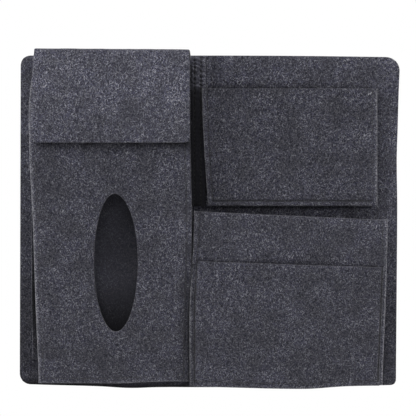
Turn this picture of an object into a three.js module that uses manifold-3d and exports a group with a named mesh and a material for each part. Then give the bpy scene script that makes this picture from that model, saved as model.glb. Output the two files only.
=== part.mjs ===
// Felt organizer that hangs on the back of a car seat.
//
// A flat felt panel carries three sewn pockets: a tall tissue pocket with an oval slot and a flap over
// its mouth, a shallow box pocket at the upper right, and a wedge pocket with a slip pocket on its front
// at the lower right. The side walls are separate gussets. Each one is sewn to the panel by one flange
// and to the edge of the pocket's front by another, which leaves a pinched rim around the pocket.
//
// The pieces are modelled in the front view, in millimetres: x to the right, y up, z towards the viewer,
// with z = 0 on the front face of the back panel, so z is the depth of a pocket. At the end the whole is
// stood up (+Z up, the seat at +Y) with its origin on the rear face of the upper hook strip.

import * as THREE from 'three';
import { mergeVertices } from 'three/addons/utils/BufferGeometryUtils.js';
import Module from 'manifold-3d';

const wasm = await Module();
wasm.setup();

// Felt and sewing
const feltThickness = 3;
const seamClearance = 0.3;
const pinchWidth = 4.5;
const gussetFlange = 11;
const seamHeight = 8;

// Back panel
const panelWidth = 345;
const panelHeight = 302;
const panelTopRadius = 9;
const panelBottomRadius = 6;

// Hook strips on the rear of the panel
const hookStripLength = 300;
const hookStripWidth = 25;
const hookStripThickness = 1.2;
const hookStripInset = 13.5;

// Tissue pocket
const tissueSideInset = 17;
const tissueBottomInset = 3.5;
const tissueWidth = 138.5;
const tissueDepth = 53;
const slantTopHeight = 157.5;
const slantTopDepth = 41;
const ovalWidth = 38;
const ovalHeight = 121;
const ovalCentreHeight = 111.7;
const ovalOffset = 2.8;
const outerStripWidth = 14;

// Flap over the tissue pocket
const flapTopInset = 1.7;
const flapDrop = 81;
const flapLeftInset = 2.7;
const flapOverhang = 0.6;
const flapHeadroom = 3.3;
const flapCornerRadius = 4;
const flapFoldRadius = 3;
const flapSeamHeight = 14;
const flapTapeThickness = 1;
const flapTapeLength = 100;
const flapTapeWidth = 20;
const flapTapeInset = 10;
const uprightMargin = 2;

// Upper pocket
const upperGap = 15.2;
const upperLean = 4.5;
const upperRightInset = 22;
const upperHeight = 105.5;
const upperDepth = 18;
const upperBottomGap = 4;

// Lower pocket and the slip pocket on its front
const lowerGap = 0.6;
const lowerLean = 2.9;
const lowerRightInset = 14.5;
const lowerBottomInset = 1.5;
const lowerLeftHeight = 159.7;
const lowerRightHeight = 151.7;
const lowerDepth = 29;
const slipLeftHeight = 114.5;
const slipRightHeight = 108.7;
const slipBow = 8;

// Facets
const curveSteps = 8;
const ovalSteps = 48;
const bowSteps = 20;

// Places that follow from the sizes
const panelRight = panelWidth / 2;
const panelTop = panelHeight / 2;
const seamDepth = seamClearance + feltThickness;

const tissueLeft = -panelRight + tissueSideInset;
const tissueRight = tissueLeft + tissueWidth;
const tissueBottom = -panelTop + tissueBottomInset;
const tissueSeamTop = tissueBottom + seamHeight;
const slantTop = tissueBottom + slantTopHeight;
const tissueSlope = (slantTopDepth - seamDepth) / (slantTop - tissueSeamTop);

const flapTop = panelTop - flapTopInset;
const flapBottom = flapTop - flapDrop;
const flapLeft = tissueLeft + flapLeftInset;
const flapRight = tissueRight + flapOverhang;
const tapeLayers = 2 * flapTapeThickness + 3 * seamClearance;
const flapDepth = tissueDepth + tapeLayers + feltThickness;
const tapeBottom = flapBottom + flapTapeInset;
const tissueTop = flapTop - feltThickness - flapHeadroom;
const uprightStart = tapeBottom - uprightMargin;

const lowerBottom = -panelTop + lowerBottomInset;
const lowerSeamTop = lowerBottom + seamHeight;
const lowerLeft = tissueRight + lowerGap;
const lowerRight = panelRight - lowerRightInset;
const lowerSlope = (lowerDepth - seamDepth) / (lowerLeftHeight - seamHeight);

const upperLeft = tissueRight + upperGap;
const upperRight = panelRight - upperRightInset;
const upperBottom = lowerBottom + lowerLeftHeight + upperBottomGap;
const upperTop = upperBottom + upperHeight;

// Materials
const felt = () => new THREE.MeshStandardMaterial({ color: 0x42424a, roughness: 0.97, metalness: 0 });
const tape = () => new THREE.MeshStandardMaterial({ color: 0x17171a, roughness: 0.8, metalness: 0 });

// Manifold solid of a closed geometry
function solidOf(geometry) {
  const bare = geometry.clone();
  bare.deleteAttribute('normal');
  bare.deleteAttribute('uv');
  const merged = mergeVertices(bare, 1e-4);
  return new wasm.Manifold(
    new wasm.Mesh({
      numProp: 3,
      vertProperties: Float32Array.from(merged.attributes.position.array),
      triVerts: Uint32Array.from(merged.index.array),
    }),
  );
}

// Geometry of a manifold solid
function geometryOf(solid) {
  const mesh = solid.getMesh();
  const geometry = new THREE.BufferGeometry();
  geometry.setAttribute('position', new THREE.BufferAttribute(mesh.vertProperties, 3));
  geometry.setIndex(new THREE.BufferAttribute(mesh.triVerts, 1));
  geometry.computeVertexNormals();
  return geometry;
}

// Closed shape through corner points
function polygon(points) {
  return new THREE.Shape(points.map(([u, v]) => new THREE.Vector2(u, v)));
}

// Rectangle with its own radius at each corner, from the lower left one anticlockwise; 0 is a sharp corner
function roundedRectangle(left, bottom, right, top, [lowerLeftR, lowerRightR, upperRightR, upperLeftR]) {
  const shape = new THREE.Shape();
  shape.moveTo(left + lowerLeftR, bottom);
  shape.lineTo(right - lowerRightR, bottom);
  shape.absarc(right - lowerRightR, bottom + lowerRightR, lowerRightR, -Math.PI / 2, 0);
  shape.lineTo(right, top - upperRightR);
  shape.absarc(right - upperRightR, top - upperRightR, upperRightR, 0, Math.PI / 2);
  shape.lineTo(left + upperLeftR, top);
  shape.absarc(left + upperLeftR, top - upperLeftR, upperLeftR, Math.PI / 2, Math.PI);
  shape.lineTo(left, bottom + lowerLeftR);
  shape.absarc(left + lowerLeftR, bottom + lowerLeftR, lowerLeftR, Math.PI, 1.5 * Math.PI);
  return shape;
}

// Front-view outline made solid between two depths
function layer(shape, rear, front, curveSegments = curveSteps) {
  const geometry = new THREE.ExtrudeGeometry(shape, { depth: front - rear, bevelEnabled: false, curveSegments });
  return geometry.translate(0, 0, rear);
}

// Side-view outline, given as depth and height, made solid between two places along x
function profile(shape, left, right) {
  const options = { depth: right - left, bevelEnabled: false, curveSegments: curveSteps };
  const geometry = new THREE.ExtrudeGeometry(shape, options);
  const sideView = new THREE.Matrix4().makeBasis(
    new THREE.Vector3(0, 0, 1),
    new THREE.Vector3(0, 1, 0),
    new THREE.Vector3(-1, 0, 0),
  );
  return geometry.applyMatrix4(sideView).translate(right, 0, 0);
}

// Felt sheet with a front-view outline, lying along a side-view profile
function bentSheet(outline, sideProfile, left, right, deepest) {
  const cutFromFront = solidOf(layer(outline, 0, deepest + feltThickness, ovalSteps));
  return geometryOf(cutFromFront.intersect(solidOf(profile(sideProfile, left, right))));
}

// Side-view profile of a sheet whose outer face has a given depth at each height
function sheetProfile(heights, depthAt) {
  const outer = heights.map((y) => [depthAt(y), y]);
  const inner = heights.map((y) => [depthAt(y) - feltThickness, y]).reverse();
  return polygon([...outer, ...inner]);
}

// Closed solid through a stack of rings with equal numbers of points, with a flat cap on each end
function loft(rings) {
  const count = rings[0].length;
  const positions = rings.flat().flatMap((point) => point.toArray());
  const index = [];
  for (let r = 0; r + 1 < rings.length; r += 1) {
    for (let i = 0; i < count; i += 1) {
      const a = r * count + i;
      const b = r * count + ((i + 1) % count);
      index.push(a, b, a + count, b, b + count, a + count);
    }
  }
  const capRing = rings[0];
  const along = rings[rings.length - 1][0].clone().sub(capRing[0]);
  const flat = Math.abs(along.y) > Math.abs(along.x) ? (p) => [p.x, p.z] : (p) => [p.y, p.z];
  const contour = capRing.map((point) => new THREE.Vector2(...flat(point)));
  const last = (rings.length - 1) * count;
  const turnsLeft = !THREE.ShapeUtils.isClockWise(contour);
  for (const [a, b, c] of THREE.ShapeUtils.triangulateShape(contour, [])) {
    const [first, second, third] = turnsLeft ? [a, b, c] : [a, c, b];
    index.push(first, third, second, last + first, last + second, last + third);
  }
  const geometry = new THREE.BufferGeometry();
  geometry.setAttribute('position', new THREE.Float32BufferAttribute(positions, 3));
  geometry.setIndex(outwards(positions, index));
  geometry.computeVertexNormals();
  return geometry;
}

// Triangles turned so that the volume they enclose is positive
function outwards(positions, index) {
  const at = (i) => new THREE.Vector3().fromArray(positions, 3 * i);
  let volume = 0;
  for (let i = 0; i < index.length; i += 3) {
    volume += at(index[i]).dot(at(index[i + 1]).cross(at(index[i + 2])));
  }
  return volume > 0 ? index : index.toReversed();
}

// Gusset section with the front flange outwards and the panel flange inwards, as [inset from the edge, depth]
function zSection(front) {
  const wall = pinchWidth + feltThickness;
  const flangeEnd = pinchWidth + gussetFlange;
  return [
    [0, front - feltThickness],
    [0, front],
    [wall, front],
    [wall, seamDepth],
    [flangeEnd, seamDepth],
    [flangeEnd, seamClearance],
    [pinchWidth, seamClearance],
    [pinchWidth, front - feltThickness],
  ];
}

// Gusset section with both flanges outwards, level with the edge of the pocket
function cSection(front) {
  const wall = pinchWidth + feltThickness;
  return [
    [0, front - feltThickness],
    [0, front],
    [wall, front],
    [wall, seamClearance],
    [0, seamClearance],
    [0, seamDepth],
    [pinchWidth, seamDepth],
    [pinchWidth, front - feltThickness],
  ];
}

// Section placed at a point of the pocket's edge; a mitre of 1 or -1 runs its end back at 45 degrees
function sectionRing(section, edge, inward, along, mitre = 0) {
  const side = new THREE.Vector3(...inward, 0);
  const run = new THREE.Vector3(...along, 0);
  return section.map(([inset, depth]) => {
    const back = mitre * (inset + seamClearance / 2);
    return new THREE.Vector3(...edge, depth).addScaledVector(side, inset).addScaledVector(run, back);
  });
}

// Depth of the tissue pocket's outer face: flat seam, straight slant, easing into the upright part
function tissueDepthAt(y) {
  if (y <= tissueSeamTop) return seamDepth;
  if (y <= slantTop) return seamDepth + tissueSlope * (y - tissueSeamTop);
  if (y >= uprightStart) return tissueDepth;
  const span = uprightStart - slantTop;
  const t = (y - slantTop) / span;
  const ease = t * t * (3 - 2 * t);
  const runOut = t * (1 - t) * (1 - t);
  return slantTopDepth + (tissueDepth - slantTopDepth) * ease + tissueSlope * span * runOut;
}

// Heights where the tissue pocket's side view needs a point, from a starting height up
function tissueHeights(start) {
  const span = uprightStart - slantTop;
  const easing = Array.from({ length: curveSteps + 1 }, (_, i) => slantTop + (span * i) / curveSteps);
  return [start, ...easing, tissueTop];
}

// Height on the slant where the tissue pocket's front lies a given depth out
function tissueHeightOf(depth) {
  return tissueSeamTop + (depth - seamDepth) / tissueSlope;
}

// Depth of the lower pocket's outer face: flat seam, then one straight slant
function lowerDepthAt(y) {
  return seamDepth + lowerSlope * Math.max(0, y - lowerSeamTop);
}

// Straight line between the values at the lower pocket's left and right edges
function acrossLower(x, atLeft, atRight) {
  return atLeft + ((atRight - atLeft) * (x - lowerLeft)) / (lowerRight - lowerLeft);
}

// Back panel and what hangs it

function backPanel() {
  const radii = [panelBottomRadius, panelBottomRadius, panelTopRadius, panelTopRadius];
  const outline = roundedRectangle(-panelRight, -panelTop, panelRight, panelTop, radii);
  return layer(outline, -feltThickness, 0);
}

function hookStripCentre(side) {
  return side * (panelTop - hookStripInset - hookStripWidth / 2);
}

function hookStrip(side) {
  const centre = hookStripCentre(side);
  const half = [hookStripLength / 2, hookStripWidth / 2];
  const outline = roundedRectangle(-half[0], centre - half[1], half[0], centre + half[1], [0, 0, 0, 0]);
  const front = -feltThickness - seamClearance;
  return layer(outline, front - hookStripThickness, front);
}

// Tissue pocket

function tissueFront() {
  const outline = polygon([
    [tissueLeft, tissueBottom],
    [tissueRight, tissueBottom],
    [tissueRight, tissueTop],
    [tissueLeft, tissueTop],
  ]);
  const ovalX = (tissueLeft + tissueRight) / 2 + ovalOffset;
  const ovalY = tissueBottom + ovalCentreHeight;
  const oval = new THREE.Path();
  oval.absellipse(ovalX, ovalY, ovalWidth / 2, ovalHeight / 2, 0, 2 * Math.PI);
  outline.holes.push(oval);
  const heights = [tissueBottom, ...tissueHeights(tissueSeamTop)];
  return bentSheet(outline, sheetProfile(heights, tissueDepthAt), tissueLeft, tissueRight, tissueDepth);
}

function tissueGusset(edge, inward, section, startDepth) {
  const rings = tissueHeights(tissueHeightOf(startDepth)).map((y) => {
    const front = tissueDepthAt(y) - seamDepth;
    return sectionRing(section(front), [edge, y], [inward, 0], [0, 1]);
  });
  return loft(rings);
}

function tissueLeftGusset() {
  const flatZ = 2 * (feltThickness + seamClearance) + seamClearance;
  return tissueGusset(tissueLeft, 1, zSection, flatZ);
}

function tissueRightGusset() {
  const closedC = 3 * (feltThickness + seamClearance) + seamClearance;
  const sides = solidOf(tissueGusset(tissueRight, -1, cSection, closedC));
  const stripRight = tissueRight + outerStripWidth;
  const besideFlap = flapRight + seamClearance;
  const strip = polygon([
    [tissueRight - pinchWidth, upperBottom],
    [stripRight, upperBottom],
    [stripRight, panelTop],
    [besideFlap, panelTop],
    [besideFlap, tissueTop],
    [tissueRight - pinchWidth, tissueTop],
  ]);
  return geometryOf(sides.add(solidOf(layer(strip, seamClearance, seamDepth))));
}

// Flap, folded twice: behind the pocket's mouth and again over its front. Each fold is a rounded outer
// corner that is split at 45 degrees, so that the felt on either side of it can turn about that corner.

function flapSeamStrip() {
  const left = tissueLeft + pinchWidth + gussetFlange + seamClearance;
  const right = tissueRight - pinchWidth - feltThickness - seamClearance;
  const top = flapTop - seamClearance;
  const side = new THREE.Shape();
  side.moveTo(seamDepth, top - feltThickness);
  side.absarc(seamClearance + flapFoldRadius, top - flapFoldRadius, flapFoldRadius, 0.75 * Math.PI, Math.PI);
  side.lineTo(seamClearance, flapTop - flapSeamHeight);
  side.lineTo(seamDepth, flapTop - flapSeamHeight);
  return profile(side, left, right);
}

function flapTopPanel() {
  const rear = 2 * seamClearance;
  const front = flapDepth - seamClearance;
  const bend = flapTop - flapFoldRadius;
  const side = new THREE.Shape();
  side.moveTo(front - feltThickness, flapTop - feltThickness);
  side.absarc(front - flapFoldRadius, bend, flapFoldRadius, Math.PI / 4, Math.PI / 2);
  side.lineTo(rear + flapFoldRadius, flapTop);
  side.absarc(rear + flapFoldRadius, bend, flapFoldRadius, Math.PI / 2, 0.75 * Math.PI);
  side.lineTo(rear + feltThickness, flapTop - feltThickness);
  return profile(side, flapLeft, flapRight);
}

function flapFrontPanel() {
  const radii = [flapCornerRadius, flapCornerRadius, 0, 0];
  const outline = roundedRectangle(flapLeft, flapBottom, flapRight, flapTop, radii);
  const top = flapTop - seamClearance;
  const side = new THREE.Shape();
  side.moveTo(flapDepth - feltThickness, top - feltThickness);
  side.lineTo(flapDepth - feltThickness, flapBottom);
  side.lineTo(flapDepth, flapBottom);
  side.absarc(flapDepth - flapFoldRadius, top - flapFoldRadius, flapFoldRadius, 0, Math.PI / 4);
  return bentSheet(outline, side, flapLeft, flapRight, flapDepth);
}

function flapTape(rear) {
  const centre = (flapLeft + flapRight) / 2;
  const half = flapTapeLength / 2;
  const outline = roundedRectangle(
    centre - half, tapeBottom, centre + half, tapeBottom + flapTapeWidth, [0, 0, 0, 0],
  );
  return layer(outline, rear, rear + flapTapeThickness);
}

// Upper pocket

function upperFront() {
  const outline = polygon([
    [upperLeft, upperBottom],
    [upperRight, upperBottom],
    [upperRight, upperTop],
    [upperLeft - upperLean, upperTop],
  ]);
  return layer(outline, upperDepth - feltThickness, upperDepth);
}

function upperSideGusset(bottomEdge, topEdge, inward) {
  const section = zSection(upperDepth - seamDepth);
  return loft([
    sectionRing(section, [bottomEdge, upperBottom], [inward, 0], [0, 1], 1),
    sectionRing(section, [topEdge, upperTop], [inward, 0], [0, 1]),
  ]);
}

function upperBottomGusset() {
  const section = zSection(upperDepth - seamDepth);
  return loft([
    sectionRing(section, [upperLeft, upperBottom], [0, 1], [1, 0], 1),
    sectionRing(section, [upperRight, upperBottom], [0, 1], [1, 0], -1),
  ]);
}

// Lower pocket

function lowerFront() {
  const outline = polygon([
    [lowerLeft, lowerBottom],
    [lowerRight, lowerBottom],
    [lowerRight, lowerBottom + lowerRightHeight],
    [lowerLeft + lowerLean, lowerBottom + lowerLeftHeight],
  ]);
  const heights = [lowerBottom, lowerSeamTop, lowerBottom + Math.max(lowerLeftHeight, lowerRightHeight)];
  return bentSheet(outline, sheetProfile(heights, lowerDepthAt), lowerLeft, lowerRight, lowerDepth);
}

function lowerGusset(bottomEdge, topEdge, inward) {
  const flatZ = 2 * (feltThickness + seamClearance) + seamClearance;
  const start = lowerSeamTop + (flatZ - seamDepth) / lowerSlope;
  const flangeEnd = topEdge + inward * (pinchWidth + gussetFlange);
  const heightAt = (x) => acrossLower(x, lowerLeftHeight, lowerRightHeight);
  const top = lowerBottom + Math.min(heightAt(topEdge), heightAt(flangeEnd));
  const rise = (start - lowerBottom) / (top - lowerBottom);
  const startEdge = bottomEdge + (topEdge - bottomEdge) * rise;
  return loft([
    sectionRing(zSection(lowerDepthAt(start) - seamDepth), [startEdge, start], [inward, 0], [0, 1]),
    sectionRing(zSection(lowerDepthAt(top) - seamDepth), [topEdge, top], [inward, 0], [0, 1]),
  ]);
}

// The slip pocket's front lies on the lower pocket's front along its sewn sides and bows out at its mouth
function slipFront() {
  const heightAt = (x) => acrossLower(x, slipLeftHeight, slipRightHeight);
  const columns = Array.from({ length: bowSteps + 1 }, (_, i) => i / bowSteps);
  const ring = (rise) => {
    const point = (u, lift) => {
      const x = lowerLeft + (lowerRight - lowerLeft) * u;
      const y = lowerSeamTop + (heightAt(x) - seamHeight) * rise;
      const lean = (lowerLean * (y - lowerBottom) * (1 - u)) / lowerLeftHeight;
      const bow = slipBow * rise * Math.sin(Math.PI * u) ** 2;
      return new THREE.Vector3(x + lean, y, lowerDepthAt(y) + seamClearance + bow + lift);
    };
    return [...columns.map((u) => point(u, feltThickness)), ...columns.toReversed().map((u) => point(u, 0))];
  };
  const hem = ring(0).map((point) => point.clone().setY(lowerBottom));
  return loft([hem, ring(0), ring(1)]);
}

// Assembly: the front view is stood up, with the middle of the upper hook strip's rear face at the origin

const organizer = new THREE.Group();
organizer.rotation.x = Math.PI / 2;
organizer.position.set(0, -(feltThickness + seamClearance + hookStripThickness), -hookStripCentre(1));

function add(name, geometry, material) {
  const mesh = new THREE.Mesh(geometry, material);
  mesh.name = name;
  organizer.add(mesh);
}

add('back_panel', backPanel(), felt());
add('upper_hook_strip', hookStrip(1), tape());
add('lower_hook_strip', hookStrip(-1), tape());

add('tissue_pocket_front', tissueFront(), felt());
add('tissue_pocket_left_gusset', tissueLeftGusset(), felt());
add('tissue_pocket_right_gusset', tissueRightGusset(), felt());

add('flap_seam_strip', flapSeamStrip(), felt());
add('flap_top_panel', flapTopPanel(), felt());
add('flap_front_panel', flapFrontPanel(), felt());
add('flap_loop_tape', flapTape(tissueDepth + seamClearance), tape());
add('flap_hook_tape', flapTape(tissueDepth + flapTapeThickness + 2 * seamClearance), tape());

add('upper_pocket_front', upperFront(), felt());
add('upper_pocket_left_gusset', upperSideGusset(upperLeft, upperLeft - upperLean, 1), felt());
add('upper_pocket_right_gusset', upperSideGusset(upperRight, upperRight, -1), felt());
add('upper_pocket_bottom_gusset', upperBottomGusset(), felt());

add('lower_pocket_front', lowerFront(), felt());
add('lower_pocket_left_gusset', lowerGusset(lowerLeft, lowerLeft + lowerLean, 1), felt());
add('lower_pocket_right_gusset', lowerGusset(lowerRight, lowerRight, -1), felt());
add('slip_pocket_front', slipFront(), felt());

const stood = new THREE.Group();
stood.add(organizer);

export default stood;
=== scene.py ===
"""Looks of a felt organizer for the back of a car seat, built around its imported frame.

Sizes are in metres. A piece is laid out on the panel's own axes, across, up and out towards the
viewer, from the middle of the panel's front face. Bench turns those places into the frame of the
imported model.
"""

import logging
import math
from collections.abc import Callable, Sequence
from dataclasses import dataclass, field
from enum import Enum
from functools import lru_cache, partial, reduce
from itertools import accumulate

import bmesh
import bpy
from bmesh.types import BMVert, BMesh
from bpy.types import Material, Mesh, NodeSocket, Object, World
from mathutils import Matrix, Vector, noise
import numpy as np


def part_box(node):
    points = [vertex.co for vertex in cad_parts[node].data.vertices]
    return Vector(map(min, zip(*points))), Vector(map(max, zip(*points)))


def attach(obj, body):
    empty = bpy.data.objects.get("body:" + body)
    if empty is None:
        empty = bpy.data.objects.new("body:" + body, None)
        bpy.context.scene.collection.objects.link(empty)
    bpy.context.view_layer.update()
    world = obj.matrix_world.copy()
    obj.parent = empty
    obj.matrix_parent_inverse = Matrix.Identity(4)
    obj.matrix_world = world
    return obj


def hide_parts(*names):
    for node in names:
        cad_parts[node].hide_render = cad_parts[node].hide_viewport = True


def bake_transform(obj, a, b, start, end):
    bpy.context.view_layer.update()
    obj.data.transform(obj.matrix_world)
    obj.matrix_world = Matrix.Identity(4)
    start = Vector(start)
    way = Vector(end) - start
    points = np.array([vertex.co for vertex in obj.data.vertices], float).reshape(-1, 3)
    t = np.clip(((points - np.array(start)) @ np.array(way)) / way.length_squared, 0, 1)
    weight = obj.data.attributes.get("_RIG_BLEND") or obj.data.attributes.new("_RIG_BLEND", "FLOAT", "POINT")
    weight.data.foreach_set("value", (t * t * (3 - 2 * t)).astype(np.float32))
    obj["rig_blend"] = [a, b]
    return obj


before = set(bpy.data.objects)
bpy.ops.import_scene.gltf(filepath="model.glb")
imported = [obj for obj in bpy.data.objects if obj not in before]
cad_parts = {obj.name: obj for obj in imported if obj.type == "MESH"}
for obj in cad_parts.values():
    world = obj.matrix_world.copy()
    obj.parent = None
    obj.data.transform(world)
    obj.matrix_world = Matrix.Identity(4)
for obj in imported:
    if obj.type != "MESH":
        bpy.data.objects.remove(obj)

log = logging.getLogger("organizer")
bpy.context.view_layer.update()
MM = 0.001
RIM_FUZZ_AND_HIGHLIGHT = "rim"
SHADE_AND_SEAM_TONE = "tone"
SHADE_NAP = "nap"
Lay = Callable[[float, float], Vector]
Amount = Callable[[float, float], float]
Distances = tuple[float, ...]
Edges = Callable[[float, float], Distances]
Pair = tuple[float, float]
Rims = tuple[float, ...]
Depths = tuple[float, float, float]
Radii = tuple[float, float, float, float]
Turns = tuple[tuple[float, float, float], ...]


class Held(Enum):
    """How a felt piece is held on the organizer."""

    HUNG = "hung"
    LAID = "laid"
    FOLDED = "folded"
    STRETCHED = "stretched"


class Body(Enum):
    """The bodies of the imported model."""

    ORGANIZER = "organizer"
    FLAP_TOP = "flap_top"
    FLAP_FRONT = "flap_front"


class Slot(Enum):
    """The record's material slots."""

    FELT = "felt"
    HOOK_TAPE = "hook_tape"
    LOOP_TAPE = "loop_tape"


@dataclass(frozen=True)
class Span:
    """How far a node reaches on the panel's axes."""

    left: float
    right: float
    bottom: float
    top: float
    back: float = 0.0
    front: float = 0.0

    @property
    def width(self) -> float:
        """Distance between the left and right edges."""
        return self.right - self.left

    @property
    def height(self) -> float:
        """Distance between the bottom and top edges."""
        return self.top - self.bottom

    def share(self, x: float) -> float:
        """Give a place across as a share of the width."""
        return (x - self.left) / self.width

    def edges(self, x: float, y: float) -> Distances:
        """Give the distances to the left, right, bottom and top edges."""
        return x - self.left, self.right - x, y - self.bottom, self.top - y


class Bench:
    """The panel's own axes: across, up and out, from the middle of its front face."""

    def __init__(self) -> None:
        """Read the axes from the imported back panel."""
        low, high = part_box("back_panel")
        self.origin = Vector(((low.x + high.x) / 2, low.y, (low.z + high.z) / 2))

    def place(self, point: Vector) -> Vector:
        """Turn a place across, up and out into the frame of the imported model."""
        return self.origin + Vector((point.x, -point.z, point.y))

    def span(self, node: str) -> Span:
        """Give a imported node's reach on the panel's axes."""
        low, high = (corner - self.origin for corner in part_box(node))
        return Span(low.x, high.x, low.z, high.z, -high.y, -low.y)


def ease(share: float) -> float:
    """Run smoothly from 0 to 1, flat at both ends."""
    share = min(1.0, max(0.0, share))
    return share * share * (3 - 2 * share)


def bump(place: float, middle: float, width: float) -> float:
    """Rise smoothly to 1 at a middle place and fall away on both sides."""
    return math.exp(-(((place - middle) / width) ** 2))


def lerp(first: float, last: float, share: float) -> float:
    """Give the value a share of the way from the first to the last."""
    return first + (last - first) * share


def ramp(value: float, low: float, high: float) -> float:
    """Run smoothly from 0 at a low value to 1 at a high one."""
    return ease((value - low) / (high - low))


def fade(first: float, last: float, share: float) -> float:
    """Run smoothly from the first value to the last."""
    return lerp(first, last, ease(share))


@dataclass(frozen=True)
class Shade:
    """Painted shade or painted light along an edge: a change of tone, and how far from the edge it reaches.
    """

    tone: float
    reach: float

    def at(self, distance: float) -> float:
        """Give the tone at a distance from the edge."""
        return fade(self.tone, 1.0, distance / self.reach)


@dataclass(frozen=True)
class Sewing:
    """The felt's thickness and how the pockets are sewn."""

    felt: float = 3.0 * MM
    clearance: float = 0.3 * MM
    pinch: float = 4.5 * MM
    flange: float = 11.0 * MM
    seam_height: float = 8.0 * MM
    groove_width: float = 0.8 * MM
    groove_dark: float = 4.0 * MM
    # painted light: the felt is paler towards the sewn sides of a pocket's front
    side: Shade = Shade(1.17, 16.0 * MM)
    edge_radius: float = 0.95 * MM
    bend_radius: float = 2.2 * MM
    step: float = 2.6 * MM
    closest: float = 0.05 * MM
    overrun: float = 1.0 * MM
    stitch_gap: float = 2.0 * MM
    rim_shares: tuple[float, ...] = (0.0, 0.1, 0.4, 1.0)
    groove_steps: int = 4

    @property
    def lowest(self) -> float:
        """Height of a front face that lies flat on the panel."""
        return self.felt + self.clearance

    def dip(self, distance: float, depth: float) -> float:
        """Give how far thread pulls the felt in at a distance from its seam of this depth."""
        return depth * math.exp(-((distance / self.groove_width) ** 2))

    def pocket_groove(self, across: float, rise: float, width: float, depths: Depths) -> float:
        """Give how far the left, right and bottom seams of a pocket pull its front in.

        Args:
            across: place across the sheet, from its left edge.
            rise: place up the sheet, from its bottom edge.
            width: width of the sheet.
            depths: depths of the left, right and bottom seams.

        Returns:
            The deepest pull at that place.
        """
        left, right, bottom = depths
        start = self.pinch - self.overrun
        beside = rise >= start
        inside = start <= across <= width - start
        return max(
            self.dip(across - self.pinch, left) if beside else 0.0,
            self.dip(width - across - self.pinch, right) if beside else 0.0,
            self.dip(rise - self.pinch, bottom) if inside else 0.0,
        )

    def seam_tone(self, groove: float) -> float:
        """Give the felt's tone in a seam, deeper where thread pulls it further in."""
        return 1 - max(0.0, groove) / self.groove_dark

    def half_thickness(self, distance: float) -> float:
        """Give half the felt's thickness, rounded off towards a cut edge.

        Args:
            distance: how far the place is from the nearest cut edge.

        Returns:
            Half the thickness there.
        """
        inside = max(0.0, self.edge_radius - distance)
        rounding = self.edge_radius - math.sqrt(max(0.0, self.edge_radius**2 - inside**2))
        return self.felt / 2 - rounding


SEWING = Sewing()


def stations(low: float, high: float, lines: Sequence[float] = (),
             step: float = SEWING.step) -> list[float]:
    """List places along a sheet: close together at its two cut edges and at each sewn line, even between.

    Args:
        low: place of the first edge.
        high: place of the last edge.
        lines: places of the sewn lines.
        step: widest distance between two places.

    Returns:
        The places in rising order.
    """
    rim = [share * SEWING.edge_radius for share in SEWING.rim_shares]
    marks = [low + offset for offset in rim] + [high - offset for offset in rim]
    counts = range(-SEWING.groove_steps, SEWING.groove_steps + 1)
    marks += [line + count * SEWING.groove_width / 2 for line in lines for count in counts]
    marks = sorted(mark for mark in marks if low <= mark <= high)
    places = [marks[0]]
    for mark in marks[1:]:
        gap = mark - places[-1]
        if gap < SEWING.closest:
            continue
        pieces = math.ceil(gap / step)
        start = places[-1]
        places += [start + gap * (count + 1) / pieces for count in range(pieces)]
    return places


def rounded_corner(x: float, y: float, span: Span, radii: Radii) -> Pair:
    """Move a place in a rectangle so that the rectangle's corners become round.

    Args:
        x: place across.
        y: place up.
        span: the rectangle.
        radii: radius at the lower left, lower right, upper right and upper left corners.

    Returns:
        The moved place.
    """
    right, upper = x > (span.left + span.right) / 2, y > (span.bottom + span.top) / 2
    radius = radii[(2 if right else 3) if upper else (1 if right else 0)]
    if radius <= 0:
        return x, y
    centre_x = span.right - radius if right else span.left + radius
    centre_y = span.top - radius if upper else span.bottom + radius
    a, b = (x - centre_x) / radius, (y - centre_y) / radius
    if (a > 0) != right or (b > 0) != upper:
        return x, y
    turned_x = a * math.sqrt(1 - b * b / 2)
    turned_y = b * math.sqrt(1 - a * a / 2)
    return centre_x + radius * turned_x, centre_y + radius * turned_y


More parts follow.
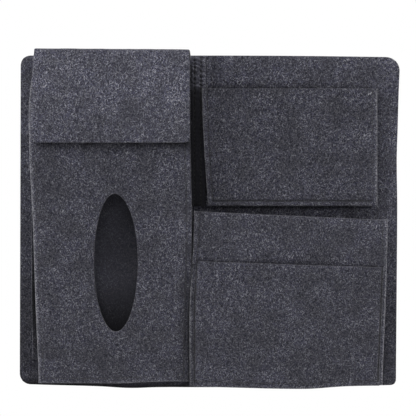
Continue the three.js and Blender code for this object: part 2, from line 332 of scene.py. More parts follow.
@dataclass
class FeltSheet:
    """A felt sheet: a grid of columns and rows that is laid in place and given its thickness."""

    name: str
    columns: list[float]
    rows: list[float]
    lay: Lay
    edges: Edges
    # strength of the pale fuzz and its painted highlight along each edge
    rims: Rims
    groove: Amount = field(default=lambda u, v: 0.0)
    closed: bool = False
    # painted light and shade, as a factor on the colour
    tone: Amount = field(default=lambda u, v: 1.0)
    # how much fibre pattern shows: lower where it is flattened under painted shade
    nap: Amount = field(default=lambda u, v: 1.0)
    plain_rear: bool = False
    unevenness: float = 0.22 * MM
    lump: float = 14.0 * MM
    fine_lump: float = 3.1
    fine_share: float = 0.4
    rim_width: float = 0.9 * MM
    nudge: float = 1e-4
    weld: float = 1e-6

    def normal(self, u: float, v: float) -> Vector:
        """Give the direction of the sheet's front face.

        Args:
            u: place across the grid.
            v: place along it.

        Returns:
            A vector of length 1.
        """
        du = (self.columns[-1] - self.columns[0]) * self.nudge
        dv = (self.rows[-1] - self.rows[0]) * self.nudge
        across = self.lay(u + du, v) - self.lay(u - du, v)
        along = self.lay(u, v + dv) - self.lay(u, v - dv)
        return across.cross(along).normalized()

    def rim(self, distances: Sequence[float]) -> float:
        """Give how much pale fuzz and painted highlight show at these distances from the cut edges."""
        fades = (math.exp(-max(0.0, gap) / self.rim_width) for gap in distances)
        return max(pale * near for pale, near in zip(self.rims, fades))

    def build(self, bench: Bench) -> Object:
        """Make the sheet's mesh.

        Args:
            bench: the panel's axes.

        Returns:
            The new object, with its place in its mesh.
        """
        made = bmesh.new()
        across, along = len(self.columns) - 1, len(self.rows) - 1
        bmesh.ops.create_grid(made, x_segments=across, y_segments=along, size=1.0)
        layers = made.verts.layers.float
        layer_u, layer_v, layer_rim_fuzz_and_highlight, layer_shade_and_seam, layer_shade_nap = (
            layers.new(name) for name in ("u", "v", RIM_FUZZ_AND_HIGHLIGHT, SHADE_AND_SEAM_TONE, SHADE_NAP)
        )
        for vert in made.verts:
            u = self.columns[round((vert.co.x + 1) / 2 * across)]
            v = self.rows[round((vert.co.y + 1) / 2 * along)]
            vert[layer_u], vert[layer_v] = u, v
            vert.co = self.lay(u, v)
        if self.closed:
            bmesh.ops.remove_doubles(made, verts=made.verts, dist=self.weld)
        raised = bmesh.ops.extrude_face_region(made, geom=made.faces[:], use_keep_orig=True)
        fronts = {item for item in raised["geom"] if isinstance(item, BMVert)}
        for vert in made.verts:
            u, v = vert[layer_u], vert[layer_v]
            way = self.normal(u, v)
            distances = self.edges(u, v)
            half = SEWING.half_thickness(min(distances))
            # Each vertex carries the pale fuzz with its painted highlight, the painted light and shade times
            # the seam's darkening, and how much fibre pattern shows under painted shade.
            vert[layer_rim_fuzz_and_highlight] = self.rim(distances)
            plain = self.plain_rear and vert not in fronts
            groove = self.groove(u, v) if vert in fronts else 0.0
            vert[layer_shade_and_seam] = 1.0 if plain else self.tone(u, v) * SEWING.seam_tone(groove)
            vert[layer_shade_nap] = 1.0 if plain else self.nap(u, v)
            offset = half - groove if vert in fronts else -half
            lumps = noise.noise(vert.co / self.lump)
            lumps += self.fine_share * noise.noise(vert.co * self.fine_lump / self.lump)
            vert.co = bench.place(vert.co + way * (offset + self.unevenness * lumps))
        bmesh.ops.recalc_face_normals(made, faces=made.faces)
        return mesh_object(self.name, made)


def mesh_object(name: str, made: BMesh) -> Object:
    """Turn a bmesh into an object with smooth faces.

    Args:
        name: name of the piece.
        made: the finished bmesh, which is freed.

    Returns:
        The object, linked to the scene.
    """
    mesh = bpy.data.meshes.new(name)
    for face in made.faces:
        face.smooth = True
    made.to_mesh(mesh)
    made.free()
    piece = bpy.data.objects.new(name, mesh)
    bpy.context.scene.collection.objects.link(piece)
    return piece


class Value:
    """A number that varies over a surface: an output socket, with arithmetic that adds Math nodes."""

    def __init__(self, graph: "Graph", socket: NodeSocket) -> None:
        """Wrap a socket of a graph."""
        self.graph = graph
        self.socket = socket

    def _math(self, operation: str, first: "Value | float", second: "Value | float") -> "Value":
        """Add a Math node on two values."""
        return self.graph.add("ShaderNodeMath", {"operation": operation}, {0: first, 1: second})

    def __add__(self, other: "Value | float") -> "Value":
        """Add."""
        return self._math("ADD", self, other)

    def __mul__(self, other: "Value | float") -> "Value":
        """Multiply."""
        return self._math("MULTIPLY", self, other)

    def peak(self, other: "Value") -> "Value":
        """Take the larger of two values."""
        return self._math("MAXIMUM", self, other)

    def between(self, low: float, high: float) -> "Value":
        """Run smoothly from 0 at the low value to 1 at the high one."""
        settings = {"interpolation_type": "SMOOTHSTEP"}
        return self.graph.add("ShaderNodeMapRange", settings, {0: self, 1: low, 2: high})


class Graph:
    """The nodes of one material or of the surround."""

    def __init__(self, owner: Material | World) -> None:
        """Start an empty graph.

        Args:
            owner: the material or surround that gets it.
        """
        self.owner = owner
        owner.use_nodes = True
        self.tree = owner.node_tree
        self.tree.nodes.clear()

    @classmethod
    def material(cls, name: str) -> "Graph":
        """Start the graph of a new material."""
        return cls(bpy.data.materials.new(name))

    def add(self, kind: str, settings: dict | None = None, sockets: dict | None = None,
            output: int | str = 0) -> Value:
        """Add any node.

        Args:
            kind: the node's type.
            settings: its properties.
            sockets: values or links of its inputs, by name or number.
            output: the output that is wanted.

        Returns:
            That output.
        """
        node = self.tree.nodes.new(kind)
        for key, setting in (settings or {}).items():
            setattr(node, key, setting)
        for key, value in (sockets or {}).items():
            if isinstance(value, Value):
                self.tree.links.new(value.socket, node.inputs[key])
            else:
                node.inputs[key].default_value = value
        return Value(self, node.outputs[output]) if node.outputs else Value(self, node.inputs[0])

    def mix(self, factor: Value, first: "Value | tuple", second: "Value | tuple") -> Value:
        """Mix two colours by a factor."""
        return self.add("ShaderNodeMix", {"data_type": "RGBA"}, {0: factor, 6: first, 7: second}, output=2)

    def surface(self, **sockets: "Value | float | tuple") -> Material:
        """Close the graph with one surface shader.

        Args:
            sockets: the shader's inputs, with underscores for spaces.

        Returns:
            The finished material.
        """
        named = {key.replace("_", " "): value for key, value in sockets.items()}
        shader = self.add("ShaderNodeBsdfPrincipled", sockets=named)
        self.add("ShaderNodeOutputMaterial", sockets={"Surface": shader})
        return self.owner

    def place(self) -> Value:
        """Read the place on the piece."""
        return self.add("ShaderNodeTexCoord", output="Object")

    def attribute(self, name: str) -> Value:
        """Read one of the values that the piece's mesh carries."""
        return self.add("ShaderNodeAttribute", {"attribute_name": name}, output="Fac")

    def scaled(self, vector: Value, factor: "Value | float") -> Value:
        """Multiply a vector or a colour by a number."""
        return self.add("ShaderNodeVectorMath", {"operation": "SCALE"}, {0: vector, "Scale": factor})

    def spots(self, place: Value, size: float, detail: float = 0.0, roughness: float = 0.5) -> Value:
        """Scatter soft spots of a size."""
        sockets = {"Vector": place, "Scale": 1 / size, "Detail": detail, "Roughness": roughness}
        return self.add("ShaderNodeTexNoise", None, sockets)

    def relief(self, height: Value, strength: float, distance: float) -> Value:
        """Raise the surface by a height."""
        sockets = {"Strength": strength, "Distance": distance, "Height": height}
        return self.add("ShaderNodeBump", None, sockets)

    def lint(self, place: Value, size: float = 1.6 * MM, edges: Pair = (0.60, 0.74)) -> Value:
        """Scatter specks of lint that hooks and weave have caught."""
        return self.spots(place, size, 2.0).between(*edges)

    def background_rays(self) -> Value:
        """Give 1 for the rays that show the background itself, and 0 for those that light the object."""
        kinds = ("Is Camera Ray", "Is Glossy Ray", "Is Transmission Ray")
        return reduce(Value.peak, (self.add("ShaderNodeLightPath", output=kind) for kind in kinds))


def grey(level: float, blue: float = 1.0) -> tuple[float, float, float, float]:
    """Give a grey colour with its blue raised by a factor."""
    return level, level, level * blue, 1.0


@dataclass(frozen=True)
class HeatherFelt:
    """Pressed felt of dark fibres with paler ones mixed in, fuzzy and pale at its cut edges, where a painted
    highlight is added.
    """

    name: str = "heather_felt"
    dark: float = 0.0115
    dark_blue: float = 1.5
    middle: float = 0.046
    middle_blues: Pair = (1.30, 1.56)
    pale: float = 0.27
    pale_blue: float = 1.10
    # plain grey that the fibre pattern fades to under painted shade
    plain: float = 0.055
    plain_blue: float = 1.25
    fibre_length: float = 2.8 * MM
    fibre_width: float = 0.72 * MM
    fibre_edges: Pair = (0.62, 0.86)
    fibre_share: float = 0.55
    flat_turns: Turns = tuple((0.15, math.radians(angle), 0.1) for angle in (8, 50, 95, 140))
    steep_turns: Turns = ((0.3, 0.4, math.radians(70)), (0.9, 1.2, math.radians(110)))
    hair_turns: Turns = ((0.1, 0.5, 0.4), (0.3, 1.6, 0.2), (0.2, 2.6, 0.9))
    hair_ratio: float = 2.5
    hair_share: float = 0.16
    speck: float = 1.3 * MM
    speck_edges: Pair = (0.28, 0.72)
    swirl_size: float = 5.0 * MM
    swirl: float = 4.0 * MM
    patch: float = 20.0 * MM
    patch_roughness: float = 0.66
    patch_edges: Pair = (0.35, 0.65)
    patch_fibres: Pair = (0.1, 1.8)
    # pale fuzz at the cut edges, raised further as a painted highlight
    rim_pale: float = 0.95
    relief: float = 0.4 * MM
    relief_strength: float = 0.4
    relief_shares: tuple[float, ...] = (0.6, 0.4, 0.5)

    def fibres(self, graph: Graph, place: Value, width: float, turns: Turns) -> Value:
        """Lay fibres in several directions.

        Args:
            graph: the material's nodes.
            place: where on the piece.
            width: width of a fibre.
            turns: direction of each layer of fibres.

        Returns:
            How strongly fibres show.
        """
        layers = []
        length = self.fibre_length * width / self.fibre_width
        for turn in turns:
            sockets = {"Vector": place, "Rotation": turn, "Scale": (length, width, width)}
            turned = graph.add("ShaderNodeMapping", {"vector_type": "TEXTURE"}, sockets)
            layers.append(graph.spots(turned, 1.0).between(*self.fibre_edges))
        return reduce(Value.peak, layers)

    def bent_place(self, graph: Graph, place: Value) -> Value:
        """Sway the place on the surface so that fibres curl.

        Args:
            graph: the material's nodes.
            place: where on the piece.

        Returns:
            The swayed place.
        """
        sockets = {"Vector": place, "Scale": 1 / self.swirl_size, "Detail": 1.0}
        swirl = graph.add("ShaderNodeTexNoise", None, sockets, output="Color")
        middle = (0.5, 0.5, 0.5)
        shift = graph.add("ShaderNodeVectorMath", {"operation": "SUBTRACT"}, {0: swirl, 1: middle})
        sway = graph.scaled(shift, self.swirl)
        return graph.add("ShaderNodeVectorMath", {"operation": "ADD"}, {0: place, 1: sway})

    def material(self) -> Material:
        """Make the felt's material.

        Returns:
            The material.
        """
        graph = Graph.material(self.name)
        place = graph.place()
        bent = self.bent_place(graph, place)
        coarse = self.fibres(graph, bent, self.fibre_width, self.flat_turns + self.steep_turns)
        fine = self.fibres(graph, bent, self.fibre_width / self.hair_ratio, self.hair_turns)
        grain = graph.spots(place, self.speck, 1.0)
        patch = graph.spots(place, self.patch, 4.0, self.patch_roughness)
        tints = (grey(self.middle, blue) for blue in self.middle_blues)
        tint = graph.mix(patch.between(*self.patch_edges), *tints)
        ground = graph.mix(grain.between(*self.speck_edges), grey(self.dark, self.dark_blue), tint)
        fewest, more = self.patch_fibres
        threads = (coarse * self.fibre_share + fine * self.hair_share) * (patch * more + fewest)
        # pale fuzz along the cut edges, with a painted highlight
        threads = threads + graph.attribute(RIM_FUZZ_AND_HIGHLIGHT) * self.rim_pale * grain
        colour = graph.mix(threads.between(0.0, 1.0), ground, grey(self.pale, self.pale_blue))
        # painted shade: the fibre pattern fades to plain grey where painted shade lies
        shade_flattened = graph.mix(graph.attribute(SHADE_NAP), grey(self.plain, self.plain_blue), colour)
        # the colour is scaled by the painted light and shade and by the seams' darkening
        painted_shade_colour = graph.scaled(shade_flattened, graph.attribute(SHADE_AND_SEAM_TONE))
        coarse_share, fine_share, grain_share = self.relief_shares
        height = coarse * coarse_share + fine * fine_share + grain * grain_share
        return graph.surface(
            Base_Color=painted_shade_colour, Roughness=0.96, Sheen_Weight=0.12, Sheen_Roughness=0.5,
            Specular_IOR_Level=0.12, Normal=graph.relief(height, self.relief_strength, self.relief),
        )


@dataclass(frozen=True)
class WovenTape:
    """Plain-woven nylon band that carries hooks or loops."""

    name: str = "woven_tape"
    valley: float = 0.006
    ridge: float = 0.022
    dust: float = 0.13
    yarn: float = 0.7 * MM
    over_edges: Pair = (0.1, 0.9)

    def material(self) -> Material:
        """Make the band's material, with yarns over and under.

        Returns:
            The material.
        """
        graph = Graph.material(self.name)
        place = graph.place()
        turn = graph.scaled(place, math.pi / self.yarn)
        parts = [graph.add("ShaderNodeSeparateXYZ", None, {0: turn}, output=axis) for axis in "XZ"]
        warp, weft = (graph.add("ShaderNodeMath", {"operation": "SINE"}, {0: part}) for part in parts)
        over = (warp * weft * 0.5 + 0.5).between(*self.over_edges)
        fluff = graph.spots(place, 4 * self.yarn, 3.0)
        colour = graph.mix(over * (fluff + 0.5), grey(self.valley), grey(self.ridge, 1.06))
        colour = graph.mix(graph.lint(place), colour, grey(self.dust))
        relief = graph.relief(over, 0.7, self.yarn / 4)
        return graph.surface(Base_Color=colour, Roughness=0.7, Normal=relief, Specular_IOR_Level=0.3)


@dataclass(frozen=True)
class NylonPile:
    """Drawn nylon of hooks or loops, a little shiny on the hooks and dull on the loops."""

    name: str
    root: float
    tip: float
    roughness: float
    dust: float = 0.13
    patch: float = 13.0 * MM
    worn_edges: Pair = (0.35, 0.68)
    worn_roughness: float = 0.2

    def material(self) -> Material:
        """Make the pile's material.

        Returns:
            The material.
        """
        graph = Graph.material(self.name)
        place = graph.place()
        worn = graph.spots(place, self.patch, 4.0)
        colour = graph.mix(worn.between(*self.worn_edges), grey(self.root), grey(self.tip, 1.08))
        colour = graph.mix(graph.lint(place), colour, grey(self.dust))
        rough = worn * self.worn_roughness + self.roughness
        return graph.surface(Base_Color=colour, Roughness=rough, Specular_IOR_Level=0.4)


@dataclass(frozen=True)
class SewingThread:
    """Twisted polyester thread."""

    name: str = "sewing_thread"
    ground: float = 0.012
    tip: float = 0.034
    twists: float = 900.0

    def material(self) -> Material:
        """Make the thread's material.

        Returns:
            The material.
        """
        graph = Graph.material(self.name)
        sockets = {"Vector": graph.place(), "Scale": self.twists, "Distortion": 2.0}
        twist = graph.add("ShaderNodeTexWave", None, sockets)
        colour = graph.mix(twist, grey(self.ground), grey(self.tip, 1.1))
        return graph.surface(Base_Color=colour, Roughness=0.6, Normal=graph.relief(twist, 0.5, 0.1 * MM))


class Wardrobe:
    """The finishes, made once and shared by the pieces."""

    def __init__(self) -> None:
        """Make every material."""
        self.felt = HeatherFelt().material()
        self.web = WovenTape().material()
        self.hooks = NylonPile("nylon_hooks", 0.012, 0.045, 0.35).material()
        self.loops = NylonPile("nylon_loops", 0.010, 0.030, 0.60).material()
        self.thread = SewingThread().material()
        self.pale_thread = SewingThread("pale_thread", 0.20, 0.50).material()
        self.bobbin = SewingThread("bobbin_thread", 0.035, 0.11).material()


@dataclass
class Maker:
    """Builds pieces on the bench, dresses them and ties them to the frame."""

    bench: Bench
    wardrobe: Wardrobe

    def felt(
        self, sheet: FeltSheet, flat: Pair, held: Held, nodes: Sequence[str],
        rests_on: Sequence[str] = ("back_panel",), body: Body | None = Body.ORGANIZER,
        area: float | None = None,
    ) -> Object:
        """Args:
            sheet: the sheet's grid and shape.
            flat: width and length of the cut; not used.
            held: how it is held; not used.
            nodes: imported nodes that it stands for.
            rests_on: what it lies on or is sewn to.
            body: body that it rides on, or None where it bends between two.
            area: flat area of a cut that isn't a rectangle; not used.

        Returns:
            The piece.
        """
        piece = sheet.build(self.bench)
        piece.data.materials.append(self.wardrobe.felt)
        self.tie(piece, body, nodes, Slot.FELT)
        list(rests_on)
        return piece

    def tie(self, piece: Object, body: Body | None, nodes: Sequence[str] = (),
            slot: Slot | None = None) -> None:
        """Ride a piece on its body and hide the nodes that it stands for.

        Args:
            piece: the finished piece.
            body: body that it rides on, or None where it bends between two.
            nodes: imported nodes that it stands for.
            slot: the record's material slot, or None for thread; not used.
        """
        if body is not None:
            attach(piece, body.value)
        if nodes:
            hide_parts(*nodes)
        log.info("%s: %d faces", piece.name, len(piece.data.polygons))


@dataclass
class StitchRow:
    """A row of stitches along a line on a felt face."""

    start: Pair
    end: Pair
    face: Lay


def pocket_rows(left: float, right: float, bottom: float, top: float, face: Lay) -> list[StitchRow]:
    """Give the rows of stitches up both sides of a pocket and along its foot."""
    upright = [StitchRow((x, bottom), (x, top), face) for x in (left, right)]
    return [*upright, StitchRow((left, bottom), (right, bottom), face)]


@dataclass
class Thread:
    """Rows of stitches that are made as one piece."""

    name: str
    rows: list[StitchRow]
    pitch: float = 3.6 * MM
    length: float = 2.9 * MM
    width: float = 0.75 * MM
    sunk: float = 0.1 * MM
    finish: Material | None = None
    probe: float = 0.1
    AROUND, ALONG = 6, 4

    def build(self, maker: Maker, body: Body = Body.ORGANIZER) -> None:
        """Make the stitches.

        Args:
            maker: builds and ties the piece.
            body: body that the stitches ride on.
        """
        made = bmesh.new()
        for row in self.rows:
            self.sew(made, row, maker.bench)
        piece = mesh_object(self.name, made)
        piece.data.materials.append(self.finish or maker.wardrobe.thread)
        maker.tie(piece, body)

    def sew(self, made: BMesh, row: StitchRow, bench: Bench) -> None:
        """Sew one row, each stitch lying along it and facing out.

        Args:
            made: the bmesh that takes the stitches.
            row: the row.
            bench: the panel's axes.
        """
        first, last = Vector(row.start), Vector(row.end)
        count = max(1, int((last - first).length / self.pitch))
        step = (last - first) / count
        for index in range(count):
            middle = first + step * (index + 0.5)
            here = row.face(*middle)
            ahead = row.face(*(middle + step * self.probe))
            side = row.face(*(middle + step.orthogonal() * self.probe))
            along = (ahead - here).normalized()
            out = along.cross(side - here).normalized()
            out = out if out.z * self.facing(here) >= 0 else -out
            axes = Matrix((along, out.cross(along), out)).transposed().to_4x4()
            size = Matrix.Diagonal((self.length / 2, self.width / 2, self.width / 2, 1))
            put = Matrix.Translation(here - out * self.sunk) @ axes @ size
            new = bmesh.ops.create_uvsphere(
                made, u_segments=self.AROUND, v_segments=self.ALONG, radius=1.0, matrix=put
            )
            for vert in new["verts"]:
                vert.co = bench.place(vert.co)

    @staticmethod
    def facing(here: Vector) -> float:
        """Tell a front face from the panel's rear one by its place."""
        return 1.0 if here.z > -SEWING.felt / 2 else -1.0


@dataclass
class BackPanel:
    """The flat felt panel that carries the pockets."""

    maker: Maker
    radii: Radii = (10.0 * MM, 5.0 * MM, 13.0 * MM, 9.0 * MM)
    crown: float = 1.1 * MM
    right_fall: float = 1.6 * MM
    sag: float = 0.8 * MM
    sag_rise: float = 3.0 * MM
    right_share: float = 0.7
    belly: float = 1.2 * MM
    belly_at: float = -72.0 * MM
    belly_width: float = 20.0 * MM
    left_lean: float = 0.9 * MM
    right_lean: float = 1.2 * MM
    dent: float = 0.9 * MM
    dent_at: float = 55.0 * MM
    dent_width: float = 28.0 * MM
    ear: float = 1.3 * MM
    ear_width: float = 30.0 * MM
    # painted light: the panel is darker towards the bottom and paler at the top
    tones: Pair = (0.62, 1.17)
    tone_rise: float = 210.0 * MM
    # painted shade inside the tall pocket, seen through the oval, lighter on the left than on the right
    inner_nap: float = 0.4
    inner_tones: Pair = (0.22, 0.88)
    inner_sides: Pair = (1.35, 0.6)
    inner_spread: Pair = (0.25, 0.75)
    slot_reach: Pair = (-95.0 * MM, -45.0 * MM)
    # painted shade above, right of and under the upper pocket, beside the outer strip, along the left margin
    # and under the tall pocket's hem
    mouth_tones: Pair = (0.28, 0.46)
    mouth_reach: float = 7.5 * MM
    right: Shade = Shade(0.68, 10.0 * MM)
    under: Shade = Shade(0.25, 3.5 * MM)
    beside: Shade = Shade(0.48, 17.0 * MM)
    left_tone: float = 0.85
    left_reach: Pair = (60.0 * MM, 100.0 * MM)
    foot: Shade = Shade(0.08, 7.0 * MM)
    rims: Rims = (0.1, 0.0, 0.0, 0.15)

    def __post_init__(self) -> None:
        """Read the reach of the panel and of what lies on it."""
        self.span = self.maker.bench.span("back_panel")
        self.covered = self.maker.bench.span("tissue_pocket_front")
        self.mouth = self.maker.bench.span("upper_pocket_front")
        self.strip = self.maker.bench.span("tissue_pocket_right_gusset")

    def lay(self, x: float, y: float) -> Vector:
        """Give the middle of the panel, with the wander of its cut edges.

        Args:
            x: place across the straight cut.
            y: place up it.

        Returns:
            The place on the panel's axes.
        """
        span = self.span
        x, y = rounded_corner(x, y, span, self.radii)
        across, upward = x / span.right, y / span.top
        top = span.top + self.crown - self.right_fall * max(0.0, across) ** 2
        side = 1.0 if across < 0 else self.right_share
        bottom = span.bottom - self.sag + self.sag_rise * across * across * side
        bottom -= self.belly * bump(x, self.belly_at, self.belly_width)
        left = span.left - self.left_lean * (1 - upward) / 2
        right = span.right + self.right_lean * upward
        right -= self.dent * bump(y, self.dent_at, self.dent_width)
        right += self.ear * bump(y, span.top, self.ear_width)
        return Vector((
            lerp(left, right, (across + 1) / 2),
            lerp(bottom, top, (upward + 1) / 2),
            (span.back + span.front) / 2,
        ))

    def inside(self, x: float, y: float) -> float:
        """Give 1 where the tall pocket covers the panel, easing to 0 at the pocket's sides."""
        return ease(min(self.covered.edges(x, y)) / (2 * SEWING.flange))

    def open_tone(self, x: float, y: float) -> float:
        """Give the painted light and shade of the felt outside the tall pocket: darker towards the bottom,
        with painted shade at the foot and beside the pockets.

        Args:
            x: place across.
            y: place up.

        Returns:
            A factor on the felt's colour.
        """
        covered, mouth = self.covered, self.mouth
        rise = y - self.span.bottom
        tone = fade(*self.tones, rise / self.tone_rise)
        # painted shade under the tall pocket's hem, along the left margin, and around the upper pocket and
        # the outer strip
        if x < covered.right:
            tone *= self.foot.at(rise)
        left = (1 - ease((x - covered.left) / SEWING.flange)) * (1 - ramp(y, *self.left_reach))
        tone *= lerp(1.0, self.left_tone, left)
        between = mouth.left < x < mouth.right
        if between and y > mouth.bottom + SEWING.flange:
            behind = Shade(lerp(*self.mouth_tones, mouth.share(x)), self.mouth_reach)
            tone *= behind.at(y - mouth.top)
        if x > mouth.right and mouth.bottom < y < mouth.top:
            tone *= self.right.at(x - mouth.right)
        if between and y < mouth.bottom:
            tone *= self.under.at(mouth.bottom - y)
        if x > 0 and y > mouth.bottom:
            tone *= self.beside.at(x - self.strip.right)
        return tone

    def inner_tone(self, x: float, y: float) -> float:
        """Give the painted shade of the felt inside the tall pocket, deepest low down and on the right."""
        tone = lerp(*self.inner_tones, ramp(y, *self.slot_reach))
        return tone * lerp(*self.inner_sides, ramp(self.covered.share(x), *self.inner_spread))

    def tone(self, x: float, y: float) -> float:
        """Give the felt's painted light and shade at a place."""
        return lerp(self.open_tone(x, y), self.inner_tone(x, y), self.inside(x, y))

    def nap(self, x: float, y: float) -> float:
        """Give how much the fibre pattern shows, flattened inside the tall pocket to go with the painted
        shade there.
        """
        return lerp(1.0, self.inner_nap, self.inside(x, y))

    def build(self) -> None:
        """Make the panel."""
        span = self.span
        sheet = FeltSheet(
            "back_panel_felt", stations(span.left, span.right), stations(span.bottom, span.top), self.lay,
            span.edges, self.rims, tone=self.tone, nap=self.nap, plain_rear=True,
        )
        strips = ["upper_hook_strip", "lower_hook_strip"]
        self.maker.felt(sheet, (span.width, span.height), Held.HUNG, ["back_panel"], strips)


@dataclass(eq=False)
class Gusset:
    """A pocket's side wall with one flange on the panel and one behind the edge of the pocket's front.

    The flange on the panel is turned inward, or outward where outreach says how far.
    """

    node: str
    edge_at: Callable[[float], Vector]
    inward: Vector
    front_at: Callable[[float], float]
    low: float
    high: float
    mitre: Pair = (0.0, 0.0)
    outreach: Callable[[float], float] | None = None
    rims: Rims = (0.4, 0.6, 0.2, 0.3)
    tone: Amount = field(default=lambda reach, along: 1.0)
    bend_share: float = 0.45
    shortest: float = 0.1 * MM
    BEND_STEPS = 4
    RUN_STEPS = (4, 10, 3)
    TOUCHING = 1e-7
    DIGITS = 7

    def corners(self, front: float) -> list[Vector]:
        """Give the corners of the section's middle line.

        Args:
            front: height of the wall's front face over the panel.

        Returns:
            Each corner's inset from the pocket's edge and its height over the panel.
        """
        half = SEWING.felt / 2
        foot, wall, top = SEWING.clearance + half, SEWING.pinch + half, front - half
        end = -self.outreach(front) if self.outreach else SEWING.pinch + SEWING.flange
        return [Vector(corner) for corner in ((end, foot), (wall, foot), (wall, top), (0.0, top))]

    @lru_cache(maxsize=4096)
    def path(self, front: float) -> tuple[tuple[Vector, ...], tuple[float, ...]]:
        """Give the section's middle line with rounded bends.

        Args:
            front: height of the wall's front face over the panel.

        Returns:
            The points of the line and their distances along it.
        """
        corners = self.corners(front)
        runs = [after - before for before, after in zip(corners, corners[1:])]
        ways = [run.normalized() if run.length > self.TOUCHING else Vector((0, 1)) for run in runs]
        radius = min(SEWING.bend_radius, self.bend_share * max(runs[1].length, self.shortest))
        points = [corners[0] + ways[0] * SEWING.edge_radius * share for share in SEWING.rim_shares]
        for index, corner in enumerate(corners[1:3]):
            start, end = corner - ways[index] * radius, corner + ways[index + 1] * radius
            points += self.run(points[-1], start, self.RUN_STEPS[index])
            for count in range(1, self.BEND_STEPS + 1):
                share = count / self.BEND_STEPS
                points.append(start.lerp(corner, share).lerp(corner.lerp(end, share), share))
        shares = reversed(SEWING.rim_shares)
        rim = [corners[3] - ways[2] * SEWING.edge_radius * share for share in shares]
        points += self.run(points[-1], rim[0], self.RUN_STEPS[2]) + rim[1:]
        lengths = ((after - before).length for before, after in zip(points, points[1:]))
        return tuple(points), tuple(accumulate(lengths, initial=0.0))

    @staticmethod
    def run(start: Vector, end: Vector, steps: int) -> list[Vector]:
        """Give even places from one place to another, without the first."""
        return [start.lerp(end, (count + 1) / steps) for count in range(steps)]

    def at(self, index: float, along: float) -> tuple[Vector, float, float]:
        """Give the place on the section at a height.

        Args:
            index: number of the point on the section's line, with a fraction.
            along: place along the gusset.

        Returns:
            The inset and height there, the distance from the line's start and the line's length.
        """
        points, reach = self.path(round(self.front_at(along), self.DIGITS))
        index = min(max(index, 0.0), len(points) - 1.0)
        first = min(int(index), len(points) - 2)
        share = index - first
        reached = lerp(reach[first], reach[first + 1], share)
        return points[first].lerp(points[first + 1], share), reached, reach[-1]

    def lay(self, index: float, along: float) -> Vector:
        """Give the middle of the felt.

        Args:
            index: number of the point on the section's line, with a fraction.
            along: place along the gusset.

        Returns:
            The place on the panel's axes.
        """
        (inset, out), _, _ = self.at(index, along)
        share = (along - self.low) / (self.high - self.low)
        run = lerp(self.low + self.mitre[0] * inset, self.high + self.mitre[1] * inset, share)
        place = self.edge_at(run) + self.inward * inset
        return Vector((place.x, place.y, out))

    def edges(self, index: float, along: float) -> Distances:
        """Give the distances to the panel flange's edge, the front flange's edge and the two ends."""
        _, reach, length = self.at(index, along)
        return reach, length - reach, along - self.low, self.high - along

    def build(self, maker: Maker) -> None:
        """Make the gusset, which is sewn to the panel and to the front of its pocket.

        Args:
            maker: builds and ties the piece.
        """
        pocket = self.node.split("_")[0]
        rests_on = ["back_panel", f"{pocket}_pocket_front"]
        middle = (self.low + self.high) / 2
        points, reach = self.path(round(self.front_at(middle), self.DIGITS))
        columns = [float(index) for index in range(len(points))]
        sheet = FeltSheet(
            f"{self.node}_felt", columns, stations(self.low, self.high), self.lay, self.edges, self.rims,
            tone=lambda index, along: self.tone(self.at(index, along)[1], along),
        )
        maker.felt(sheet, (reach[-1], self.high - self.low), Held.FOLDED, [self.node], rests_on)


